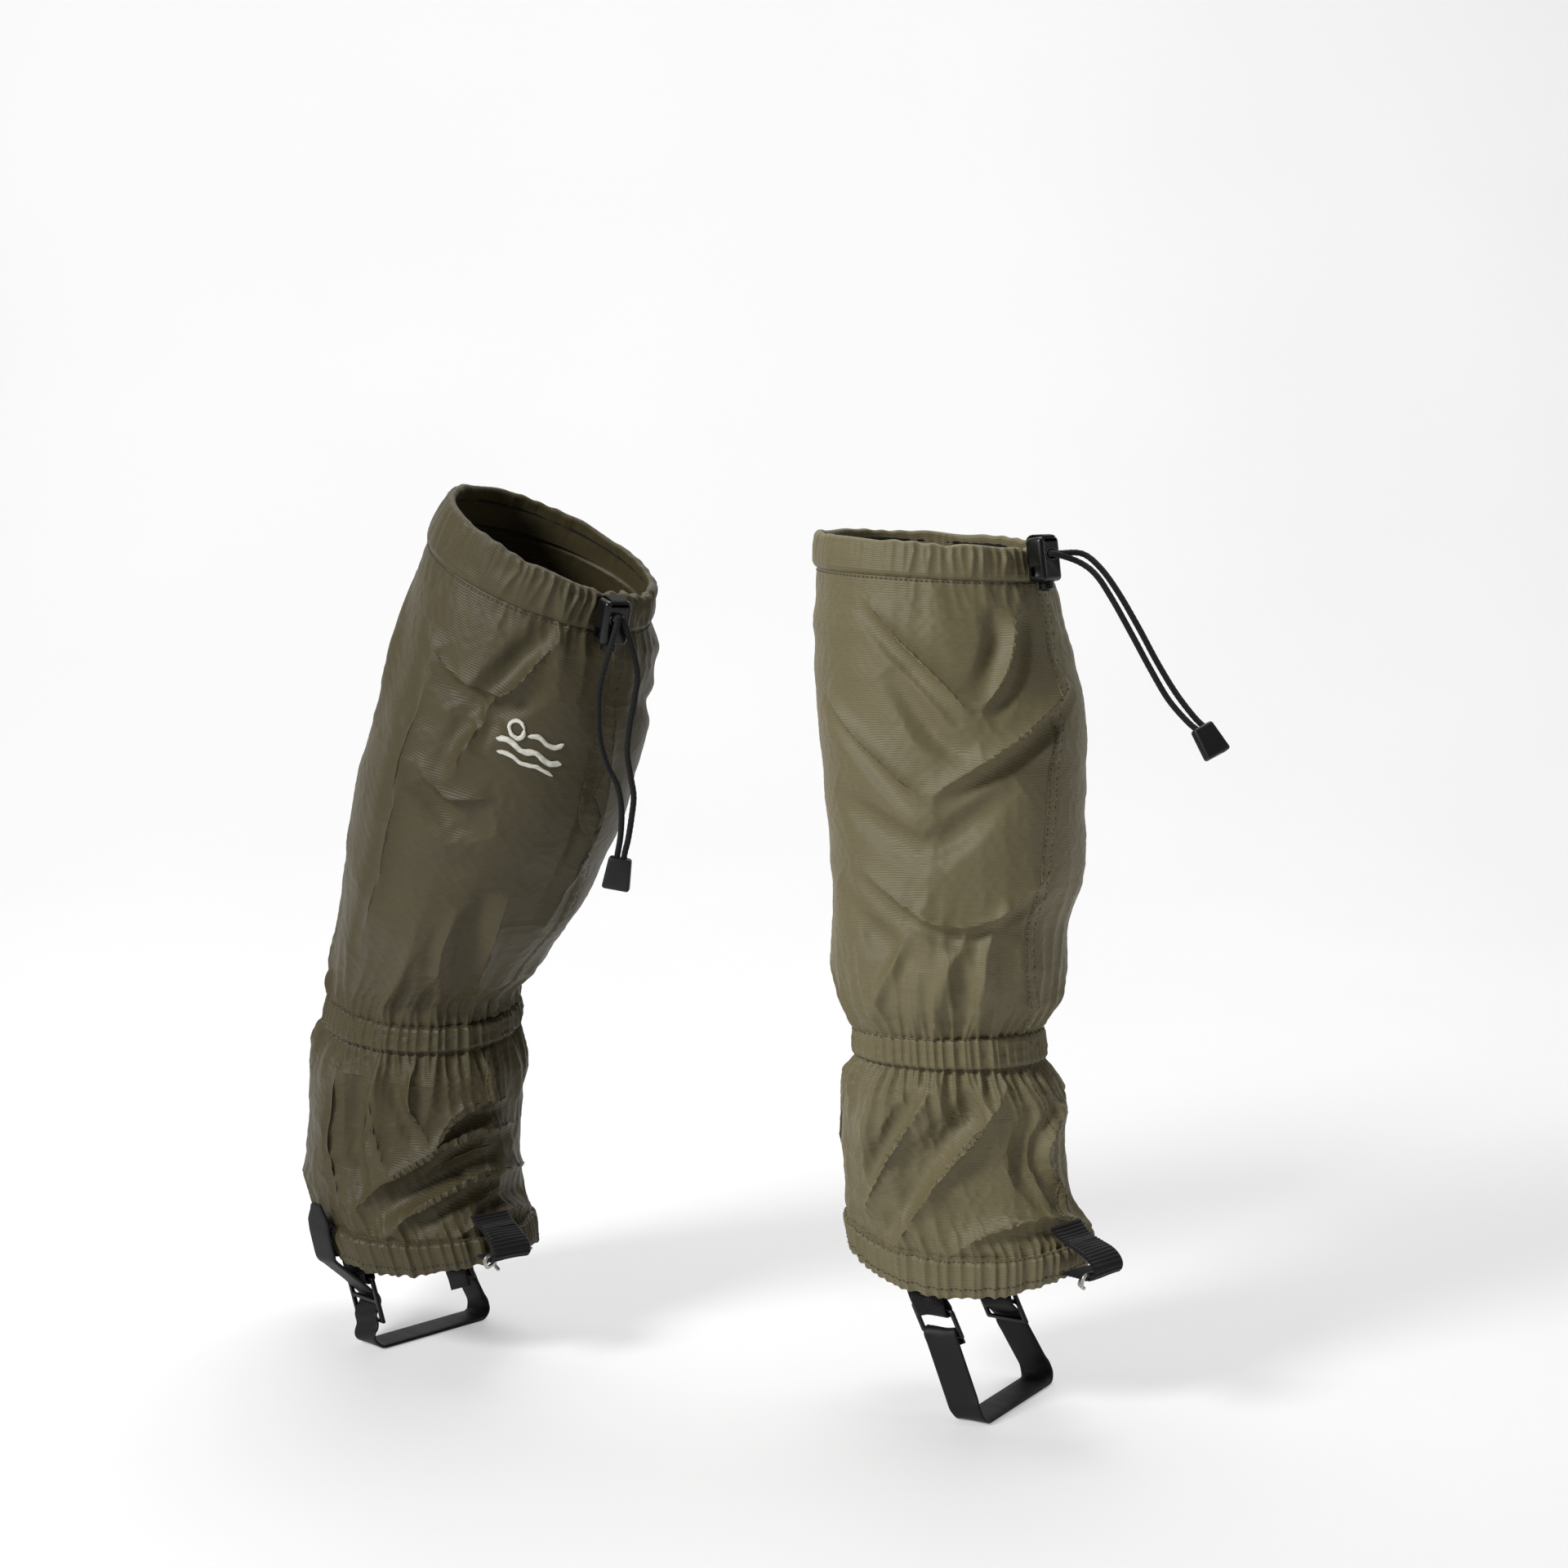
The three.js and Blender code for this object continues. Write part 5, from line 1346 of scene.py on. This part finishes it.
def elastics(g):
    side, W, E = g["side"], g["waist"], g["last"]
    n = 240
    phi = np.arange(n) * 2 * math.pi / n
    U = np.arange(n + 1) * 2 * math.pi / n * 60
    for name, s0, s1, o1, o2, node, bend in (("ankle_elastic_band", W + 0.1, W + 0.9, -1.1, -2.3, "ankle_elastic", True), ("hem_elastic_band", E - 0.5, E - 0.16, -1.5, -3.4, "hem_elastic", False)):
        ss = np.r_[np.linspace(s0, s1, 12), np.linspace(s1, s0, 12)]
        oo = np.r_[np.full(12, o1), np.full(12, o2)]
        k = np.arange(24)
        rib = 0.18 * np.sin(phi * 110)[None, :]
        P = surf(g, ss[:, None] * np.ones((1, n)), phi[None] * np.ones((24, 1)), oo[:, None] + rib * (1 - 2 * (k[:, None] >= 12)))
        P = np.vstack([P, P[:1]])
        o = grid_obj(f"{side}_{name}", P, np.tile(U, (25, 1)), np.tile(np.arange(25.0)[:, None], (1, n + 1)), True, ELASTIC)
        if bend:
            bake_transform(o)
        else:
            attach(o, side + "_boot_cover")
        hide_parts(f"{side}_{node}")


def front_hook(g, d):
    side, m, reach = g["side"], d["hook"], g["hook"][2]
    P3 = lambda pts: place(m, [[a, b, 0.0] for a, b in pts])
    wid = np.array(m, float)[:3, 2]
    start = [(0.6, 4.6), (2.0, 3.0)] if side == "left" else [(2.9, 2.3)]
    path = P3(start + [(3.4, 1.6), (7.5, -1.2), (12, -2.6), (reach - 8, -5.6), (reach - 2.8, -8.2), (reach + 0.4, -11.4), (reach + 1.5, -14.6), (reach + 0.2, -17.6), (reach - 3.4, -19.3), (reach - 9, -19.9), (12, -20.4), (9, -20.9)])
    web, p, t, w, n = ribbon_obj(side + "_hook_webbing_tab", path, wid, 25, 1.5, HOOK_WEB, ribs=lambda u, l: 0.36 * (np.abs(np.sin(l * 1.32)) - 0.5), step=0.3, nacross=22, wave=lambda u, l: 0.35 * np.sin(l * 0.21 + 2.2 * u))
    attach(web, side + "_front_tab")
    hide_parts(side + "_hook_webbing")
    # box of bar-tack stitching where the webbing is sewn to its fold
    rows = []
    k = np.linalg.norm(p - P3([(13, -3)])[0], axis=1).argmin()
    up = n[k] if n[k] @ np.array([0, 0, 1.0]) > 0 else -n[k]
    for q, shift in enumerate(np.linspace(-1.6, 1.6, 5)):
        c = p[k] + t[k] * shift * 1.0
        line = np.array([c + w[k] * x for x in np.linspace(-10.5, 10.5, 40)])
        rows.append(stitches(f"{side}_hook_bartack_{q}", line + up * 1.05, np.tile(up, (40, 1)), 1.5, 1.35, 0.3, BOBBIN, sink=0.0))
    for q, lateral in enumerate((-10.6, 10.6)):
        seg = np.arange(len(p))[(np.arange(len(p)) > k) & (np.arange(len(p)) < k + 45)]
        if len(seg) > 3:
            upn = np.array([n[i] if n[i] @ up > 0 else -n[i] for i in seg])
            rows.append(stitches(f"{side}_hook_edge_stitch_{q}", p[seg] + w[seg] * lateral + upn * 0.95, upn, 2.4, 1.9, 0.28, BOBBIN, sink=0.0))
    for r in rows:
        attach(r, side + "_front_tab")
    bar = (reach - 2.2, -15.8)
    wire = [[bar[0], bar[1], -15], [bar[0], bar[1], -8], [bar[0], bar[1], 0], [bar[0], bar[1], 8], [bar[0], bar[1], 14], [bar[0] - 0.6, bar[1] - 2.6, 16], [bar[0] - 5, bar[1] - 8.2, 12], [bar[0] - 12, bar[1] - 10, 5], [bar[0] - 17, bar[1] - 10.4, 0], [bar[0] - 19, bar[1] - 13.4, -1.5], [bar[0] - 16, bar[1] - 15.2, -2]]
    line = spline(place(m, wire), 12)
    hook = tube_obj(side + "_lace_hook_wire", line, 1.1, 14, HOOK_WIRE)
    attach(hook, side + "_hook")
    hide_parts(side + "_lace_hook")


def stirrup(g, d):
    side, m = g["side"], d["stirrup"]
    zh, w0, I, drop = g["hingeZ"], g["tabSide"], g["inner"], g["drop"]
    zb = zh - 14
    half = 44

    def at(pts):
        """Local (forward, left, up), leaning forward below the hinge line, to the pair's frame."""
        q = np.asarray(pts, float).copy()
        q[:, 0] += drop * np.maximum(0, zh - q[:, 2])
        return place(m, q)
    F3 = np.array(m, float)[:3, 0]
    # webbing tabs, folded round the ring and the buckle
    for k, name, node in ((I, "inner_strap_webbing", "inner_strap_tab"), (-I, "outer_strap_webbing", "outer_strap_tab")):
        o = 2.5
        sec = [(k * (w0 + o), zh + 7.5), (k * (w0 + o), zh - 2), (k * (w0 + o), zb + 3), (k * (w0 + o), zb), (k * (w0 + o * 0.7), zb - o * 0.8), (k * w0, zb - o * 1.1), (k * (w0 - o * 0.7), zb - o * 0.8), (k * (w0 - o), zb), (k * (w0 - o), zb + 4), (k * (w0 - o + 0.2), zh - 2)]
        path = at([[0, a, b] for a, b in sec])
        web, p, t, w, n = ribbon_obj(f"{side}_{name}", path, F3, 20, 1.5, BLACK_WEB, ribs=lambda u, l: 0.16 * (np.abs(np.sin(l * 1.5)) - 0.5), step=0.35, nacross=18)
        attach(web, side + "_stirrup")
        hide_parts(f"{side}_{node}")
        line = at([[x, k * (w0 + o), zb + 6.5] for x in np.linspace(-9, 9, 30)])
        out = np.array(m, float)[:3, 1] * k
        for q in range(3):
            st = stitches(f"{side}_{name}_bartack_{q}", line + out * 1.0 + np.array([0, 0, q * 1.1]), np.tile(out, (30, 1)), 1.5, 1.35, 0.28, BOBBIN, sink=0.0)
            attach(st, side + "_stirrup")

    def frame(name, node, k, bars, hw, thick):
        """Moulded frame with rounded bars."""
        lo, hi = bars[-1] - hw, bars[0] + hw
        def build(bm):
            rounded_box((27, thick, hi - lo), 1.1, 4, (0, k * w0, (lo + hi) / 2))(bm)
            for v in bm.verts:
                v.co.x += drop * max(0, zh - v.co.z)
        o = solid_obj(f"{side}_{name}", build, m, PLASTIC)
        tools = []
        for a, b in zip(bars[:-1], bars[1:]):
            def win(bm, a=a, b=b):
                rounded_box((21.6, 10, (a - hw) - (b + hw)), 0.9, 3, (0, k * w0, (a + b) / 2))(bm)
                for v in bm.verts:
                    v.co.x += drop * max(0, zh - v.co.z)
            tools.append(tool(win, m))
        o = cut_by(o, *tools, bevel=0.45, sharp=40)
        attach(o, side + "_stirrup")
        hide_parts(f"{side}_{node}")
        return o
    frame("strap_ring", "inner_strap_ring", I, [zb, zb - 13], 1.2, 2.6)
    frame("ladder_buckle", "strap_buckle", -I, [zb, zb - 13, zb - 24], 1.1, 2.6)
    # the strap: folded round the ring's lower bar, under the sole, up through the buckle
    t2 = 1.2 + 0.4 + 1.0 + 0.3
    zr, S = zb - 13, half
    bz = [zb, zb - 13, zb - 24]
    tail = [(-I * (w + (1.3 if side == "right" else 0.3)), zh + z - 1) for w, z in d["tail"]]
    path = [(I * (w0 - t2), zr - 9), (I * (w0 - t2), zr), (I * (w0 - t2 * 0.7), zr + t2 * 0.75), (I * w0, zr + t2 * 1.05), (I * (w0 + t2 * 0.7), zr + t2 * 0.75), (I * (w0 + t2), zr),
            (I * (w0 + t2 + 1), zr - 6), (I * S, 9), (I * (S - 1.2), 4), (I * (S - 5), 1), (I * 20, 1), (0, 1), (-I * 20, 1),
            (-I * (S - 5), 1), (-I * (S - 1.2), 4), (-I * S, min(9, bz[2] - 9)), (-I * (w0 + 3.2), bz[2] - 3), (-I * (w0 + 2.9), bz[2]),
            (-I * (w0 + 2.9), zb - 22), (-I * (w0 - 2.9), zb - 15), (-I * (w0 - 2.9), zb - 11), (-I * (w0 + 5.6), zb - 1.5)] + tail
    dense = []
    for a, b in zip(path[:-1], path[1:]):
        steps = max(2, int(math.hypot(b[0] - a[0], b[1] - a[1]) / 0.8))
        for q in range(steps):
            dense.append((a[0] + (b[0] - a[0]) * q / steps, a[1] + (b[1] - a[1]) * q / steps))
    dense.append(path[-1])
    dense = np.array(dense)
    for _ in range(5):
        dense[1:-1] = (dense[:-2] + 2 * dense[1:-1] + dense[2:]) / 4
    full = at(np.c_[np.zeros(len(dense)), dense])
    if len(full) < 200:
        full = np.stack([np.interp(np.linspace(0, len(full) - 1, 240), np.arange(len(full)), full[:, c]) for c in range(3)], -1)

    def pointed(l, total):
        rest = total - l
        return np.where(rest < 11, 0.30 + 0.70 * np.clip(rest / 11, 0, 1) ** 0.8, 1.0)
    strap, p, t, w, n = ribbon_obj(side + "_foot_strap", full, F3, 20, 2.0, STRAP, step=0.7, nacross=20, taper=pointed, ribs=lambda u, l: -0.22 * np.exp(-((abs(u) - 8.0) / 0.5) ** 2) + 0 * l)
    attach(strap, side + "_stirrup")
    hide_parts(side + "_stirrup_strap")


def emblem(g):
    """Sewn motif of satin-stitch threads: a ring and three rolling lines, of no maker's design."""
    P, vs = g["leg"]["P"], g["leg"]["vs"]
    N = normals(P)
    def at(x, y, h=0.0):
        """x, y in mm over the patch, 41 x 23 mm, from its middle."""
        x, y = np.asarray(x, float), np.asarray(y, float)
        s = 3.35 + 0.42 * (x / 41 + 0.5) + 0.85 * (0.5 - y / 23)
        ph = np.radians(-54 + 32 * (x / 41 + 0.5))
        p, n = sample(P, N, np.interp(v_of(g, s), vs, np.arange(len(vs))), ph)
        return p + n * np.asarray(h, float)[..., None] if np.ndim(h) else p + n * h
    verts, faces = [], []
    a6 = np.arange(6) * math.pi / 3

    def strand(p0, p1, r=0.27, h=0.45):
        xs = np.linspace(p0[0], p1[0], 7)
        ys = np.linspace(p0[1], p1[1], 7)
        hs = h + 0.35 * np.sin(np.linspace(0, math.pi, 7))
        c = at(xs, ys, hs)
        c2 = at(xs, ys, hs + 1.0)
        n = c2 - c
        t = np.gradient(c, axis=0)
        t /= np.linalg.norm(t, axis=1, keepdims=True)
        b = np.cross(t, n)
        rr = r * np.array([0.5, 0.9, 1, 1, 1, 0.9, 0.5])
        base = len(verts)
        for q in range(7):
            for w in a6:
                verts.append(c[q] + rr[q] * (math.cos(w) * n[q] + math.sin(w) * b[q]))
        for q in range(6):
            for w in range(6):
                w2 = (w + 1) % 6
                faces.append((base + q * 6 + w, base + q * 6 + w2, base + (q + 1) * 6 + w2, base + (q + 1) * 6 + w))
        faces.append(tuple(base + w for w in range(5, -1, -1)))
        faces.append(tuple(base + 36 + w for w in range(6)))

    def satin(line, width, pitch=0.42):
        """A thick line filled with short threads laid across it."""
        pts = spline(np.array(line, float), 30)
        seg = np.r_[0, np.cumsum(np.linalg.norm(np.diff(pts, axis=0), axis=1))]
        for d in np.arange(0, seg[-1], pitch):
            x, y = np.interp(d, seg, pts[:, 0]), np.interp(d, seg, pts[:, 1])
            x2, y2 = np.interp(min(d + 0.3, seg[-1]), seg, pts[:, 0]), np.interp(min(d + 0.3, seg[-1]), seg, pts[:, 1])
            x1, y1 = np.interp(max(d - 0.3, 0), seg, pts[:, 0]), np.interp(max(d - 0.3, 0), seg, pts[:, 1])
            tx, ty = x2 - x1, y2 - y1
            k = math.hypot(tx, ty) or 1
            w = width * min(1, 0.35 + min(d, seg[-1] - d) / 3.0) / 2
            skew = 0.35
            nx, ny = -ty / k + skew * tx / k, tx / k + skew * ty / k
            strand((x - nx * w, y - ny * w), (x + nx * w, y + ny * w))
    a = np.linspace(0.3, 2 * math.pi + 0.3, 14)
    satin(list(zip(-9.5 + 4.6 * np.cos(a), 5.2 + 4.6 * np.sin(a))), 2.4)
    satin([(-2.5, 4.4), (3.5, 6.6), (9.5, 4.8), (14.5, 5.4), (19, 8.6)], 2.6)
    satin([(-19.5, -4.4), (-12, -2.2), (-4, -3.8), (4, -1.6), (12, -3.6), (19.5, -1.4)], 3.0)
    satin([(-17, -9.8), (-10, -8.4), (-2, -9.6), (6, -8.0), (16, -9.6)], 2.3)
    o = mesh_obj("right_embroidered_motif", verts, faces, mat=EMBROIDERY)
    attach(o, "right_leg")
    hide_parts("right_emblem")


for g in GAITERS:
    d = PLACE[g["side"]]
    cord_lock(g, d)
    drawcord(g, d)
    elastics(g)
    front_hook(g, d)
    stirrup(g, d)
emblem(RIGHT)

# for each gaiter, a table of sizes (mm) of the cloth pieces, which nothing reads
for g in GAITERS:
    R = {"leg": 74.0, "casing": 72.0, "boot": 70.0, "band": 60.0, "hem": 68.0}

# ---------------------------------------------------------- floor, light, camera
def stage_scene():
    sc = bpy.context.scene
    m = Mat("floor_paint")
    n = m.noise(m.uv(which="Object"), 3, 2)
    floor_mat = m.done(m.ramp(n, [(0.3, (0.47, 0.47, 0.47, 1)), (0.7, (0.49, 0.49, 0.49, 1))]), m.range(n, 0.6, 0.7), m.bump(n, 0.02, 0.001), Emission_Color=(1, 1, 1, 1), Emission_Strength=0.36)
    prof = [(-3.2, 0.0), (1.2, 0.0)] + [(1.2 + 0.9 * math.sin(a), 0.9 - 0.9 * math.cos(a)) for a in np.linspace(0.1, math.pi / 2, 14)] + [(2.1, 4.0)]
    verts, faces = [], []
    for y, z in prof:
        verts += [(-4000, y * 1000, z * 1000 - 0.2), (4000, y * 1000, z * 1000 - 0.2)]
    for k in range(len(prof) - 1):
        faces.append((2 * k, 2 * k + 1, 2 * k + 3, 2 * k + 2))
    floor = mesh_obj("floor", verts, faces, mat=floor_mat)
    world = bpy.data.worlds.new("studio")
    sc.world = world
    world.use_nodes = True
    world.node_tree.nodes["Background"].inputs["Color"].default_value = (1.0, 1.0, 1.0, 1)
    world.node_tree.nodes["Background"].inputs["Strength"].default_value = 0.10

    def area(name, loc, target, size, energy):
        l = bpy.data.lights.new(name, "AREA")
        l.shape, l.size, l.energy = "DISK", size, energy
        o = link(bpy.data.objects.new(name, l))
        o.location = loc
        o.rotation_euler = (Vector(target) - Vector(loc)).to_track_quat("-Z", "Y").to_euler()
    area("key", (-1.9, -1.5, 2.0), (0, 0, 0.25), 0.85, 86)
    area("fill", (2.3, -0.5, 1.0), (0, 0, 0.25), 0.8, 6)
    area("top", (0.2, 0.7, 2.4), (0, 0, 0.2), 1.4, 18)
    area("wall", (0.0, 0.9, 2.6), (0, 2.3, 0.7), 2.0, 24)
    cam = bpy.data.cameras.new("camera")
    cam.lens, cam.sensor_width, cam.clip_start = 93.92, 36.0, 0.05
    o = link(bpy.data.objects.new("camera", cam))
    o.location = (0.05251, -2.31762, 0.8)
    o.rotation_euler = (math.radians(79), 0, 0)
    sc.camera = o
    sc.view_settings.view_transform = "Standard"


stage_scene()
